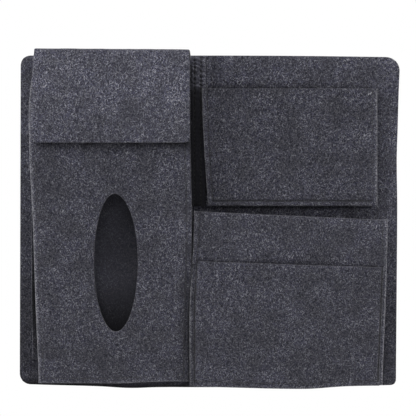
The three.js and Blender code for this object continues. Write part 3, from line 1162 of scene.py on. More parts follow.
@dataclass
class TissuePocket:
    """The tall pocket with an oval slot in its slanted front."""

    maker: Maker
    slant_height: float = 157.5 * MM
    slant_depth: float = 41.0 * MM
    upright_height: float = 223.8 * MM
    oval: Pair = (38.6 * MM, 124.0 * MM)
    oval_height: float = 110.3 * MM
    oval_offset: float = 2.8 * MM
    mouth_tuck: float = 4.0 * MM
    mouth_tuck_height: float = 48.0 * MM
    left_dent: float = 1.0 * MM
    right_bulge: float = 2.0 * MM
    bulge_at: float = 5.0 * MM
    bulge_width: float = 55.0 * MM
    foot_tuck: float = 1.5 * MM
    hem_rise: float = 2.2 * MM
    hem_spread: Pair = (0.45, 0.9)
    hem_flare: float = 2.5 * MM
    flare_spread: Pair = (0.3, 0.6)
    flare_height: float = 12.0 * MM
    hem_reach: float = 60.0 * MM
    roll: float = 8.0 * MM
    roll_width: float = 12.0 * MM
    roll_height: float = 80.0 * MM
    roll_foot: float = -85.0 * MM
    foot_share: float = 0.9
    flange_foot: float = 5.3 * MM
    flange_spread: float = 0.075
    flange_widest: float = 7.6 * MM
    # painted shade on the left wall where it runs under the rim
    crease_at: float = -68.0 * MM
    crease_width: float = 72.0 * MM
    crease_reach: Pair = (0.2 * MM, 0.95 * MM)
    crease_tone: float = 0.10
    wall_rims: Rims = (0.28, 0.6, 0.2, 0.3)
    # painted shade on the rolled right rim
    rolled_tone: float = 0.4
    seam_depths: Depths = (0.35 * MM, 0.9 * MM, 0.5 * MM)
    rims: Rims = (0.5, 0.0, 0.3, 1.35, 0.15)
    # painted shadow under the flap's lower edge; the felt is also darker towards the bottom
    shade: float = 0.25
    foot_tone: float = 0.93
    shade_reach: float = 7.5 * MM
    shade_hold: float = 1.0 * MM
    shade_fade: float = 4.5 * MM
    rim_band: float = 9.0 * MM
    oval_band: float = 4.0 * MM
    ring_span: float = 56.0 * MM
    slope_length: float = 1.03
    outline_step: float = 3.0 * MM

    def __post_init__(self) -> None:
        """Read the pocket's reach and work out its slope."""
        span = self.maker.bench.span("tissue_pocket_front")
        flap = self.maker.bench.span("flap_front_panel")
        self.span = span
        self.seam_top = span.bottom + SEWING.seam_height
        self.slant_top = span.bottom + self.slant_height
        self.upright = span.bottom + self.upright_height
        self.slope = (self.slant_depth - SEWING.lowest) / (self.slant_top - self.seam_top)
        middle = (span.left + span.right) / 2 + self.oval_offset
        self.oval_centre = Vector((middle, span.bottom + self.oval_height))
        self.shade_foot, self.flap_left = flap.bottom - self.shade_reach, flap.left

    def depth(self, y: float) -> float:
        """Give the depth of the front's outer face: flat seam, straight slant, then upright.

        Args:
            y: place up.

        Returns:
            Its height over the panel.
        """
        if y <= self.slant_top:
            return SEWING.lowest + self.slope * max(0.0, y - self.seam_top)
        reach = self.upright - self.slant_top
        share = min(1.0, (y - self.slant_top) / reach)
        run_out = share * (1 - share) ** 2
        return fade(self.slant_depth, self.span.front, share) + self.slope * reach * run_out

    def left(self, y: float) -> float:
        """Give the place of the left edge, which is dented in the middle and tucked in at the mouth."""
        tuck = self.mouth_tuck * ease((y - self.span.top + self.mouth_tuck_height) / self.mouth_tuck_height)
        return self.span.left + self.left_dent * bump(y, self.bulge_at, self.bulge_width) + tuck

    def right(self, y: float) -> float:
        """Give the place of the right edge, which bulges in the middle and is tucked in at the foot."""
        tuck = self.foot_tuck * (1 - ease((y - self.span.bottom) / (2 * self.hem_reach)))
        return self.span.right + self.right_bulge * bump(y, self.bulge_at, self.bulge_width) - tuck

    def wander(self, x: float, y: float) -> Pair:
        """Move a place on the straight cut to where it lies on the sewn pocket.

        Args:
            x: place across the cut.
            y: place up it.

        Returns:
            The place across and up.
        """
        share = self.span.share(x)
        lift = self.hem_rise * ramp(share, *self.hem_spread)
        y += lift * max(0.0, 1 - (y - self.span.bottom) / self.hem_reach)
        return lerp(self.left(y), self.right(y), share), y

    def rolled_share(self, y: float) -> float:
        """Give how much of the roll the right rim has: all of it below the middle of the pocket."""
        return 1 - ease((y - self.span.bottom - self.roll_height) / self.hem_reach)

    def rolled(self, y: float) -> float:
        """Give how far the right rim is rolled back.

        Args:
            y: place up.

        Returns:
            The depth that the rim loses.
        """
        room = self.depth(y) - SEWING.lowest
        walled = room - 2 * SEWING.felt - SEWING.clearance
        most = walled if y >= self.roll_foot else self.foot_share * room
        return min(self.roll * self.rolled_share(y), most)

    def rolled_depth(self, y: float) -> float:
        """Give the depth of the right rim's outer face."""
        return self.depth(y) - self.rolled(y)

    def near_rim(self, x: float) -> float:
        """Give 1 at the right rim, falling to 0 where its roll starts."""
        return max(0.0, 1 - (self.span.right - x) / self.roll_width)

    def face_depth(self, x: float, y: float) -> float:
        """Give the depth of the outer face with its rolled right rim and flared hem.

        Args:
            x: place across the cut.
            y: place up it.

        Returns:
            Its height over the panel.
        """
        near = self.near_rim(x)
        hem = max(0.0, 1 - (y - self.span.bottom) / self.flare_height)
        flare = self.hem_flare * hem * hem * ramp(self.span.share(x), *self.flare_spread)
        return self.depth(y) - self.rolled(y) * near * near + flare

    def corner(self, turn: int, inset: float) -> Vector:
        """Give a corner of the front's outline.

        Args:
            turn: number of the corner, from the lower left anticlockwise.
            inset: how far the outline is drawn in.

        Returns:
            The place across and up.
        """
        span = self.span
        x = span.right - inset if turn % 4 in (1, 2) else span.left + inset
        y = span.top - inset if turn % 4 in (2, 3) else span.bottom + inset
        return Vector((x, y))

    def pattern(self, around: float, ring: float) -> Vector:
        """Give a place on the flat front, between its outline and the oval.

        Args:
            around: way round the outline, a whole number at each corner.
            ring: 0 at the outline, ring_span at the oval.

        Returns:
            The place across and up.
        """
        side = math.floor(around)
        share = around - side
        inset = min(ring, self.rim_band)
        outer = self.corner(side, inset).lerp(self.corner(side + 1, inset), share)
        if ring <= self.rim_band:
            return outer
        spread = self.corner(side, 0.0).lerp(self.corner(side + 1, 0.0), share) - self.oval_centre
        angle = math.atan2(spread.y / self.span.height, spread.x / self.span.width)
        off = min(self.ring_span - ring, self.oval_band)
        wide, tall = (size / 2 + off for size in self.oval)
        inner = self.oval_centre + Vector((wide * math.cos(angle), tall * math.sin(angle)))
        reach = self.ring_span - self.oval_band - self.rim_band
        return outer.lerp(inner, min(1.0, (ring - self.rim_band) / reach))

    def lay(self, around: float, ring: float) -> Vector:
        """Give the middle of the front's felt."""
        x, y = self.pattern(around, ring)
        return Vector((*self.wander(x, y), self.face_depth(x, y) - SEWING.felt / 2))

    def edges(self, around: float, ring: float) -> Distances:
        """Give the distances to the bottom, right, top and left edges and to the oval."""
        side = min(3, max(0, math.floor(around)))
        return *(ring if side == number else self.ring_span for number in range(4)), self.ring_span - ring

    def groove(self, around: float, ring: float) -> float:
        """Give how far the side and bottom seams pull the felt in."""
        return self.dip(*self.pattern(around, ring))

    def dip(self, x: float, y: float) -> float:
        """Give the pull of the seams at a place across and up."""
        span = self.span
        return SEWING.pocket_groove(x - span.left, y - span.bottom, span.width, self.seam_depths)

    def shaded(self, rise: float) -> float:
        """Give how much of the flap's painted shadow falls: 1 at the flap's lower edge, easing to 0 below it
        and a little way behind the flap.
        """
        behind = ease((rise - self.shade_reach - self.shade_hold) / self.shade_fade)
        return ease(rise / self.shade_reach) * (1 - behind)

    def tone(self, around: float, ring: float) -> float:
        """Give the felt's painted light and shade: a painted shadow under the flap's edge, painted shade
        along the rolled rim, painted light towards the sides, darker towards the bottom.

        Args:
            around: way round the outline.
            ring: way in from the outline to the oval.

        Returns:
            A factor on the felt's colour.
        """
        span = self.span
        x, y = self.pattern(around, ring)
        # painted shade on the rolled rim, and painted light towards the sides
        rim = lerp(1.0, self.rolled_tone, self.near_rim(x) * self.rolled_share(y))
        rim *= SEWING.side.at(min(x - span.left, span.right - x))
        # painted shadow under the flap's edge, and darker towards the bottom
        under = self.shaded(y - self.shade_foot) * ease((x - self.flap_left) / self.shade_reach)
        foot = fade(self.foot_tone, 1.0, 2 * (y - span.bottom) / span.height)
        return rim * lerp(1.0, self.shade, under) * foot

    def face(self, x: float, y: float) -> Vector:
        """Give the bottom of the seam on the front face at a place across and up."""
        return Vector((*self.wander(x, y), self.face_depth(x, y) - self.dip(x, y)))

    def outline_stations(self) -> list[float]:
        """List the places round the outline.

        Returns:
            The places in order, a whole number at each corner.
        """
        places = [0.0]
        for side, length in enumerate((self.span.width, self.span.height) * 2):
            marks = stations(0.0, length, step=self.outline_step)
            places += [side + mark / length for mark in marks[1:]]
        return places

    def build(self) -> None:
        """Make the pocket's front, side walls and stitches."""
        span, pinch = self.span, SEWING.pinch
        front = FeltSheet(
            "tissue_pocket_front_felt", self.outline_stations(), stations(0.0, self.ring_span, [pinch]),
            self.lay, self.edges, self.rims, self.groove, closed=True, tone=self.tone,
        )
        width, height = span.width, span.height * self.slope_length
        cut = width * height - math.pi * self.oval[0] * self.oval[1] / 4
        gussets = [f"tissue_pocket_{side}_gusset" for side in ("left", "right")]
        self.maker.felt(front, (width, height), Held.STRETCHED, ["tissue_pocket_front"], gussets, area=cut)
        self.walls()
        left, right, top = span.left + pinch, span.right - pinch, span.top - SEWING.stitch_gap
        rows = pocket_rows(left, right, span.bottom + pinch, top, self.face)
        Thread("tissue_pocket_stitches", rows).build(self.maker)

    def walls(self) -> None:
        """Make the two side walls."""
        for side, way, edge, front, lowest, outreach in (
            ("left", 1.0, self.left, self.depth, -math.inf, self.left_flange),
            ("right", -1.0, self.right, self.rolled_depth, self.roll_foot, lambda front: 0.0),
        ):
            node = f"tissue_pocket_{side}_gusset"
            Gusset(
                node, lambda y, edge=edge: Vector((edge(y), y)),
                Vector((way, 0)), lambda y, front=front: front(y) - SEWING.lowest,
                max(self.maker.bench.span(node).bottom, lowest), self.span.top,
                outreach=outreach, rims=self.wall_rims, tone=self.crease,
            ).build(self.maker)

    def left_flange(self, front: float) -> float:
        """Give how far the left wall's flange reaches beyond the rim, less where the wall is low."""
        return min(self.flange_widest, self.flange_foot + self.flange_spread * front)

    def crease(self, reach: float, y: float) -> float:
        """Give the painted shade of a wall's felt, deep where the wall runs under the rim."""
        share = ramp(reach, *self.crease_reach) * bump(y, self.crease_at, self.crease_width)
        return lerp(1.0, self.crease_tone, share)


@dataclass
class OuterStrip:
    """The puckered strip of the tall pocket's right wall that is sewn on the panel by two seams."""

    maker: Maker
    gap: float = 0.3 * MM
    seams: Pair = (-13.2 * MM, -7.4 * MM)
    seam_depth: float = 1.7 * MM
    pucker: float = 1.0 * MM
    pucker_pitch: float = 4.4 * MM
    pucker_width: float = 3.2 * MM
    pucker_drift: float = 13.2 * MM
    pucker_lag: float = 12.8 * MM
    PUCKER_ROWS = 6
    # painted light over the strip; painted shade, with a flattened fibre pattern, between the two pockets
    tones: Pair = (1.45, 1.5)
    rims: Rims = (0.0, 0.4, 0.0, 0.3)
    low_tone: float = 0.25
    low_share: float = 0.25
    strip_nap: float = 0.8
    low_reach: float = 5.0 * MM

    def __post_init__(self) -> None:
        """Read the strip's reach."""
        node = self.maker.bench.span("tissue_pocket_right_gusset")
        left = self.maker.bench.span("flap_front_panel").right + self.gap
        beside = self.maker.bench.span("upper_pocket_front")
        self.span = Span(left, node.right, beside.bottom, node.top, SEWING.clearance, SEWING.lowest)
        self.mouth = beside.top

    def above(self, y: float) -> float:
        """Give 1 above the mouth of the pocket beside the strip, easing to 0 between the two pockets."""
        return ease((y - self.mouth) / self.low_reach)

    def nap(self, x: float, y: float) -> float:
        """Give how much the fibre pattern shows, flattened with the painted shade between the two pockets."""
        return self.strip_nap * lerp(self.low_share, 1.0, self.above(y))

    def wave(self, x: float, y: float) -> float:
        """Give the pucker between two stitches, which swaps sides from one seam to the other.

        Args:
            x: place across.
            y: place up.

        Returns:
            How far the front face stands out.
        """
        shift = noise.noise(Vector((x, y, 0.0)) / self.pucker_drift)
        turn = 2 * math.pi * (y / self.pucker_pitch + shift + x / self.pucker_lag)
        near = max(bump(x, seam, self.pucker_width) for seam in self.seams)
        return self.pucker * near * math.cos(turn) * lerp(self.low_share, 1.0, self.above(y))

    def lay(self, x: float, y: float) -> Vector:
        """Give the middle of the strip's felt."""
        return Vector((x, y, SEWING.clearance + SEWING.felt / 2 + self.pucker / 2))

    def groove(self, x: float, y: float) -> float:
        """Give how far the front face is pulled in by the seams and puckered along them."""
        away = min(abs(x - seam) for seam in self.seams)
        return SEWING.dip(away, self.seam_depth) - self.wave(x, y)

    def face(self, x: float, y: float) -> Vector:
        """Give the bottom of a seam on the front face."""
        return Vector((x, y, SEWING.lowest + self.pucker / 2 - self.seam_depth + self.wave(x, y)))

    def tone(self, x: float, y: float) -> float:
        """Give the felt's painted light and shade: painted light over the strip, a little less beside the
        tall pocket, and painted shade between the two pockets.
        """
        return fade(*self.tones, self.span.share(x)) * lerp(self.low_tone, 1.0, self.above(y))

    def build(self) -> None:
        """Make the strip and its two rows of stitches."""
        span = self.span
        columns = stations(span.left, span.right, self.seams)
        rows = stations(span.bottom, span.top, step=self.pucker_pitch / self.PUCKER_ROWS)
        sheet = FeltSheet(
            "tissue_pocket_outer_strip", columns, rows, self.lay, span.edges, self.rims, self.groove,
            tone=self.tone, nap=self.nap,
        )
        self.maker.felt(sheet, (span.width, span.height), Held.LAID, ["tissue_pocket_right_gusset"])
        low, high = span.bottom + MM, span.top - MM
        sewn = [StitchRow((seam, low), (seam, high), self.face) for seam in self.seams]
        Thread("tissue_pocket_strip_stitches", sewn).build(self.maker)


@dataclass
class Flap:
    """The flap over the tissue pocket: a seam on the panel, a top, and a front that hangs over the pocket."""

    maker: Maker
    radii: Radii = (0.0, 0.0, 4.5 * MM, 4.5 * MM)
    fold_radius: float = 4.6 * MM
    # paler felt, with painted light palest over the fold and along the left edge
    tones: Pair = (1.50, 1.16)
    left: Shade = Shade(1.15, 13.0 * MM)
    tilt: float = 0.45 * MM
    left_rise: float = 0.55 * MM
    trim: float = 0.15 * MM
    rims: Rims = (0.2, 0.0, 0.05)
    taper: float = 2.2 * MM
    taper_length: float = 45.0 * MM
    nip: float = 1.4 * MM
    nip_length: float = 5.0 * MM
    seam_height: float = 14.0 * MM
    split: float = 4.0 * MM
    turn: float = 9.0 * MM
    rear_turn: float = 2.3 * SEWING.felt

    def __post_init__(self) -> None:
        """Read the flap's reach and work out its folds."""
        half = SEWING.felt / 2
        self.front = self.maker.bench.span("flap_front_panel")
        self.seam = self.maker.bench.span("flap_seam_strip")
        top = self.maker.bench.span("flap_top_panel").top
        self.rear_out = SEWING.clearance + half
        self.front_out = self.front.front - half
        self.top_up = top - half
        self.fold = self.front_out - self.rear_out
        self.radius = self.fold_radius - half
        self.spared = self.radius * (1 - math.pi / 4)
        self.length = self.fold - 3 * self.spared + self.top_up - self.front.bottom - self.trim
        self.outline = Span(self.front.left, self.front.right, -self.length, self.length)
        self.rear_hinge = Vector((0.0, top, SEWING.clearance))
        self.front_hinge = Vector((0.0, top, self.front.front))

    def side_view(self, along: float) -> Vector:
        """Give the height and depth of the flap's middle line.

        Args:
            along: distance along the felt from the rear fold's outer corner, negative on the seam.

        Returns:
            Up and out.
        """
        radius, quarter = self.radius, self.radius * math.pi / 4
        end = self.fold - 2 * self.spared
        if along < -quarter:
            return Vector((self.top_up + along - self.spared, self.rear_out))
        if along < quarter:
            angle = along / radius + math.pi / 4
            up, out = math.sin(angle) - 1, 1 - math.cos(angle)
            return Vector((self.top_up + radius * up, self.rear_out + radius * out))
        if along < end - quarter:
            return Vector((self.top_up, self.rear_out + along + self.spared))
        if along < end + quarter:
            angle = (along - end) / radius + math.pi / 4
            up, out = math.cos(angle) - 1, math.sin(angle) - 1
            return Vector((self.top_up + radius * up, self.front_out + radius * out))
        return Vector((self.top_up - (along - end) - self.spared, self.front_out))

    def lay(self, x: float, along: float) -> Vector:
        """Give the middle of the flap's felt, with its round lower corners."""
        return self.hang(*rounded_corner(x, along, self.outline, self.radii))

    def hang(self, x: float, along: float) -> Vector:
        """Put a place on the cut flap where it lies, with its tapered left side and its nipped fold.

        Args:
            x: place across the cut.
            along: place along it from the rear fold.

        Returns:
            The place on the panel's axes.
        """
        share = self.front.share(x)
        taper = self.taper * (1 - ease((along - self.fold) / self.taper_length)) * (1 - share)
        nip = self.nip * bump(along, self.fold, self.nip_length) * (0.5 - share)
        up, out = self.side_view(along)
        hold = max(0.0, 1 - max(0.0, along - self.fold) / (self.length - self.fold))
        return Vector((x + taper + nip, up + hold * lerp(self.left_rise, -self.tilt, share), out))

    def tone(self, x: float, along: float) -> float:
        """Give the felt's tone: paler felt, with painted light palest over the fold and along the left edge.
        """
        down = lerp(*self.tones, ramp(along, self.fold, self.length))
        return down * self.left.at(x - self.front.left)

    def build(self) -> None:
        """Make the flap's two felt pieces, each of which bends across one fold."""
        front, seam, length = self.front, self.seam, self.length
        rows = [place for place in stations(0.0, length, [self.fold]) if place > self.split]
        fall = FeltSheet(
            "flap_felt", stations(front.left, front.right), [self.split, *rows], self.lay,
            lambda x, along: (x - front.left, front.right - x, length - along), self.rims, tone=self.tone,
        )
        cut = (front.width, length - self.split)
        nodes = ["flap_top_panel", "flap_front_panel"]
        piece = self.maker.felt(fall, cut, Held.FOLDED, nodes, ["tissue_pocket_front"], body=None)
        before, after = Vector((0, 0, -self.turn)), Vector((0, -self.turn, 0))
        self.bend(piece, Body.FLAP_TOP, Body.FLAP_FRONT, self.front_hinge + before, self.front_hinge + after)
        rows = stations(-self.seam_height, self.split, [0.0])
        hem = FeltSheet(
            "flap_seam_felt", stations(seam.left, seam.right), rows, self.hang,
            lambda x, along: (x - seam.left, seam.right - x, along + self.seam_height), self.rims,
            tone=self.tone,
        )
        cut = (seam.width, self.seam_height + self.split)
        piece = self.maker.felt(hem, cut, Held.FOLDED, ["flap_seam_strip"], body=None)
        before, after = Vector((0, -self.rear_turn, 0)), Vector((0, -SEWING.felt / 2, SEWING.felt))
        self.bend(piece, Body.ORGANIZER, Body.FLAP_TOP, self.rear_hinge + before, self.rear_hinge + after)

    def bend(self, piece: Object, first: Body, last: Body, start: Vector, end: Vector) -> None:
        """Let a piece bend between two bodies, from a start to an end on the panel's axes."""
        start, end = self.maker.bench.place(start), self.maker.bench.place(end)
        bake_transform(piece, first.value, last.value, start=tuple(start), end=tuple(end))


@dataclass
class UpperPocket:
    """The shallow box pocket at the upper right."""

    maker: Maker
    lean: float = 5.5 * MM
    lean_power: float = 1.6
    right_spread: float = 0.65 * MM
    # painted shade, deepest in the lower left corner beside the tall pocket
    tones: Pair = (0.67, 0.87)
    tone_reach: float = 60.0 * MM
    seam_depths: Depths = (1.0 * MM, 0.4 * MM, 1.5 * MM)
    tails: tuple[Pair, ...] = ((8.4 * MM, 6.4 * MM), (6.6 * MM, 5.6 * MM))
    tail_slant: Pair = (1.2 * MM, 2.4 * MM)
    tail_width: float = 0.9 * MM
    rims: Rims = (0.9, 1.05, 0.1, 0.15)

    def __post_init__(self) -> None:
        """Read the pocket's reach."""
        self.span = self.maker.bench.span("upper_pocket_front")
        self.right = self.span.right + self.right_spread
        self.width, self.height = self.span.width, self.span.height

    def left(self, y: float) -> float:
        """Give the place of the leaning left edge at a height."""
        drop = (self.span.top - y) / self.height
        return self.span.left + self.lean * max(0.0, drop) ** self.lean_power

    def pattern(self, u: float, y: float) -> Pair:
        """Give the place across and up of a place on the cut sheet."""
        left = self.left(y)
        return left + u * (self.right - left) / self.width, y

    def lay(self, u: float, y: float) -> Vector:
        """Give the middle of the front's felt."""
        return Vector((*self.pattern(u, y), self.span.front - SEWING.felt / 2))

    def tone(self, u: float, y: float) -> float:
        """Give the felt's painted shade, deepest in the lower left corner beside the tall pocket, with
        painted light towards the sides.
        """
        corner = fade(*self.tones, math.hypot(u, y - self.span.bottom) / self.tone_reach)
        return corner * SEWING.side.at(min(u, self.width - u))

    def groove(self, u: float, y: float) -> float:
        """Give how far the side and bottom seams pull the felt in."""
        return SEWING.pocket_groove(u, y - self.span.bottom, self.width, self.seam_depths)

    def face(self, u: float, y: float) -> Vector:
        """Give the bottom of the seam on the front face."""
        return Vector((*self.pattern(u, y), self.span.front - self.groove(u, y)))

    def build(self) -> None:
        """Make the pocket's front, its three walls and its stitches."""
        span, pinch, width = self.span, SEWING.pinch, self.width
        columns = stations(0.0, width, [pinch, width - pinch])
        rows = stations(span.bottom, span.top, [span.bottom + pinch])
        front = FeltSheet(
            "upper_pocket_front_felt", columns, rows, self.lay,
            Span(0.0, width, span.bottom, span.top).edges, self.rims, self.groove, tone=self.tone,
        )
        gussets = [f"upper_pocket_{side}_gusset" for side in ("left", "right", "bottom")]
        self.maker.felt(front, (width, self.height), Held.STRETCHED, ["upper_pocket_front"], gussets)
        self.walls()
        top = span.top - SEWING.stitch_gap
        sewn = pocket_rows(pinch, width - pinch, span.bottom + pinch, top, self.face)
        Thread("upper_pocket_stitches", sewn).build(self.maker)
        self.tail()

    def walls(self) -> None:
        """Make the walls at the two sides and at the foot."""
        span = self.span
        depth = span.front - SEWING.lowest
        upright = (span.bottom, span.top, (1.0, 0.0))
        level = (self.left(span.bottom), self.right, (1.0, -1.0))
        for side, edge, inward, (low, high, mitre) in (
            ("left", lambda y: Vector((self.left(y), y)), (1, 0), upright),
            ("right", lambda y: Vector((self.right, y)), (-1, 0), upright),
            ("bottom", lambda x: Vector((x, span.bottom)), (0, 1), level),
        ):
            node = f"upper_pocket_{side}_gusset"
            Gusset(
                node, edge, Vector(inward), lambda run: depth, low, high, mitre,
            ).build(self.maker)

    def tail(self) -> None:
        """Make the short thread ends at the right corner of the mouth."""
        rows = []
        for inset, drop in self.tails:
            x, y = self.width - inset, self.span.top - drop
            end = (x + self.tail_slant[0], y + self.tail_slant[1])
            rows.append(StitchRow((x, y), end, self.face))
        finish = self.maker.wardrobe.pale_thread
        Thread("upper_pocket_thread_tail", rows, width=self.tail_width, finish=finish).build(self.maker)


@dataclass
class LowerPocket:
    """The wedge pocket at the lower right with a slip pocket on its front."""

    maker: Maker
    foot_spread: float = 1.3 * MM
    lean: float = 4.3 * MM
    right_spread: float = 0.25 * MM
    right_bulge: float = 1.0 * MM
    right_bulge_at: float = 95.0 * MM
    right_bulge_width: float = 70.0 * MM
    lean_start: float = 60.0 * MM
    sag: float = 2.7 * MM
    sag_at: float = 85.0 * MM
    sag_widths: Pair = (78.0 * MM, 30.0 * MM)
    sag_reach: float = 70.0 * MM
    hem_rise: float = 0.3 * MM
    left_height: float = 159.0 * MM
    right_height: float = 151.0 * MM
    depth_at_top: float = 29.0 * MM
    slip_left_height: float = 114.5 * MM
    slip_right_height: float = 108.7 * MM
    slip_bow: float = 3.5 * MM
    slip_inset: float = 3.4 * MM
    # painted light along the left rim above the slip pocket, and painted shade behind the slip and just above
    # its mouth
    left_tones: Pair = (0.86, 1.5)
    slip_tone: float = 0.94
    left_tone_reach: float = 10.0 * MM
    mouth: Shade = Shade(0.55, 4.0 * MM)
    seam_depths: Depths = (0.9 * MM, 0.6 * MM, 0.7 * MM)
    slip_seam_depths: Depths = (2.1 * MM, 2.3 * MM, 0.7 * MM)
    rims: Rims = (0.9, 1.15, 0.5, 0.2)
    slip_rims: Rims = (0.1, 0.7, 0.5, 0.08)

    def __post_init__(self) -> None:
        """Read the pocket's reach and work out its slope."""
        self.span = self.maker.bench.span("lower_pocket_front")
        self.width = self.span.width
        self.seam_top = self.span.bottom + SEWING.seam_height
        self.slope = (self.depth_at_top - SEWING.lowest) / (self.left_height - SEWING.seam_height)

    def depth(self, y: float) -> float:
        """Give the depth of the pocket's outer face at a height."""
        return SEWING.lowest + self.slope * max(0.0, y - self.seam_top)

    def left(self, y: float) -> float:
        """Give the place of the leaning left edge at a height."""
        rise = ease((y - self.span.bottom - self.lean_start) / (self.left_height - self.lean_start))
        return self.span.left - self.foot_spread + self.lean * rise

    def right(self, y: float) -> float:
        """Give the place of the bulging right edge at a height."""
        bulge = self.right_bulge * bump(y - self.span.bottom, self.right_bulge_at, self.right_bulge_width)
        return self.span.right + self.right_spread + bulge

    def across(self, u: float, y: float) -> float:
        """Give the place across of a place on the cut sheet."""
        return lerp(self.left(y), self.right(y), u / self.width)

    def height(self, u: float, left: float, right: float) -> float:
        """Give the height of a slanting top edge."""
        return lerp(left, right, u / self.width)

    def up(self, u: float, v: float, left: float, right: float) -> float:
        """Give the place up of a place on a sheet whose rows run to its slanting top.

        Args:
            u: place across the cut.
            v: place up it, at its left edge.
            left: height of the sheet's left edge.
            right: height of its right edge.

        Returns:
            The place up, with the sag of the hem.
        """
        y = self.span.bottom + v * self.height(u, left, right) / left
        x = self.span.left + u
        droop = self.sag * bump(x, self.sag_at, self.sag_widths[x > self.sag_at])
        rise = self.hem_rise * ramp(x, self.sag_at, self.span.right)
        return y + (rise - droop) * max(0.0, 1 - v / self.sag_reach)

    def lay(self, u: float, v: float) -> Vector:
        """Give the middle of the pocket's front felt."""
        y = self.up(u, v, self.left_height, self.right_height)
        return Vector((self.across(u, y), y, self.depth(y) - SEWING.felt / 2))

    def bow(self, u: float, v: float) -> float:
        """Give how far the slip pocket bows out from the pocket's front."""
        rise = max(0.0, (v - SEWING.seam_height) / (self.slip_left_height - SEWING.seam_height))
        return self.slip_bow * rise * math.sin(math.pi * min(1.0, max(0.0, u / self.width))) ** 2

    def lay_slip(self, u: float, v: float) -> Vector:
        """Give the middle of the slip pocket's felt.

        Args:
            u: place across the cut.
            v: place up it.

        Returns:
            The place on the panel's axes.
        """
        y = self.up(u, v, self.slip_left_height, self.slip_right_height)
        out = self.depth(y) + SEWING.clearance + SEWING.felt / 2 + self.bow(u, v)
        return Vector((self.across(u, y), y, out))

    def tone_slip(self, u: float, v: float) -> float:
        """Give the tone of the slip pocket, with painted light along its sides."""
        return self.slip_tone * SEWING.side.at(min(u, self.width - u))

    def tone(self, u: float, v: float) -> float:
        """Give the painted light and shade of the pocket's front: painted shade behind the slip pocket and
        just above its mouth, painted light along the left rim.

        Args:
            u: place across the cut.
            v: place up it.

        Returns:
            A factor on the felt's colour.
        """
        slip = self.height(u, self.slip_left_height, self.slip_right_height)
        rise = v * self.height(u, self.left_height, self.right_height) / self.left_height - slip
        left = fade(*self.left_tones, rise / self.left_tone_reach + 0.5)
        side = fade(left, 1.0, u / self.left_tone_reach) * SEWING.side.at(self.width - u)
        covered = self.slip_inset < u < self.width - self.slip_inset
        return side * self.mouth.at(rise) if covered else side

    @staticmethod
    def seam(lay: Lay, groove: Amount, u: float, v: float) -> Vector:
        """Give the bottom of a seam on the front face of a sheet with this lay and these grooves."""
        return lay(u, v) + Vector((0.0, 0.0, SEWING.felt / 2 - groove(u, v)))

    def build(self) -> None:
        """Make the pocket's front, the slip pocket, the side walls and the stitches."""
        pinch, width, gap = SEWING.pinch, self.width, SEWING.stitch_gap
        gussets = ["lower_pocket_left_gusset", "lower_pocket_right_gusset"]
        slip_top = self.slip_left_height
        faces = []
        for node, left, right, inset, lay, rims, depths, tone, rests_on in (
            ("lower_pocket_front", self.left_height, self.right_height, 0.0,
             self.lay, self.rims, self.seam_depths, self.tone, gussets),
            ("slip_pocket_front", slip_top, self.slip_right_height, self.slip_inset,
             self.lay_slip, self.slip_rims, self.slip_seam_depths, self.tone_slip, ["lower_pocket_front"]),
        ):
            columns = stations(inset, width - inset, [pinch, width - pinch])
            edges = Span(inset, width - inset, 0.0, left).edges
            rows = stations(0.0, left, [pinch])
            groove = partial(SEWING.pocket_groove, width=width, depths=depths)
            sheet = FeltSheet(f"{node}_felt", columns, rows, lay, edges, rims, groove, tone=tone)
            cut = width - 2 * inset
            area = cut * (left + right) / 2
            self.maker.felt(sheet, (cut, left), Held.STRETCHED, [node], rests_on, area=area)
            faces.append(partial(self.seam, lay, groove))
        self.walls()
        front, slip = faces
        sewn = pocket_rows(pinch, width - pinch, pinch, slip_top - gap, slip)
        for x in (pinch, width - pinch):
            sewn.append(StitchRow((x, slip_top + gap), (x, self.left_height - gap), front))
        Thread("lower_pocket_stitches", sewn).build(self.maker)

    def walls(self) -> None:
        """Make the two side walls."""
        for side, way, edge in (("left", 1.0, self.left), ("right", -1.0, self.right)):
            node = f"lower_pocket_{side}_gusset"
            reach = self.maker.bench.span(node)
            Gusset(
                node, lambda y, edge=edge: Vector((edge(y), y)),
                Vector((way, 0)), lambda y: self.depth(y) - SEWING.lowest, reach.bottom, reach.top,
            ).build(self.maker)


@dataclass
class RearSeams:
    """The rows of stitches that show on the panel's rear, one for each seam that goes through it."""

    maker: Maker
    flange_middle: float = 11.0 * MM
    end_gap: float = 3.0 * MM

    def __post_init__(self) -> None:
        """Read where the panel's rear face is."""
        self.rear = self.maker.bench.span("back_panel").back

    def face(self, x: float, y: float) -> Vector:
        """Give a place on the panel's rear face."""
        return Vector((x, y, self.rear))

    def build(self) -> None:
        """Make the stitches."""
        names = ("tissue", "upper", "lower")
        tissue, upper, lower = (self.maker.bench.span(f"{name}_pocket_front") for name in names)
        inset, pinch, gap = self.flange_middle, SEWING.pinch, self.end_gap
        strip = OuterStrip(self.maker)
        inner, outer = strip.seams
        rows = []
        for pocket, left, right, foot in (
            (tissue, tissue.left - pinch, inner, pinch),
            (upper, upper.left + inset, upper.right - inset, inset),
            (lower, lower.left + inset, lower.right - inset, pinch),
        ):
            rows += pocket_rows(left, right, pocket.bottom + foot, pocket.top - gap, self.face)
        rows.append(StitchRow((outer, strip.span.bottom), (outer, strip.span.top - gap), self.face))
        seam = self.maker.bench.span("flap_seam_strip")
        height = (seam.bottom + seam.top) / 2
        rows.append(StitchRow((seam.left + gap, height), (seam.right - gap, height), self.face))
        Thread("panel_rear_stitches", rows, finish=self.maker.wardrobe.bobbin).build(self.maker)


class Pile(Enum):
    """What stands on a tape."""

    HOOKS = "hooks"
    LOOPS = "loops"


@dataclass(frozen=True)
class Tuft:
    """The shape of one hook or loop, how closely they stand and the ways that they face."""

    wire: float
    pitch: float
    bend: float
    sweep: float
    turns: tuple[float, ...]


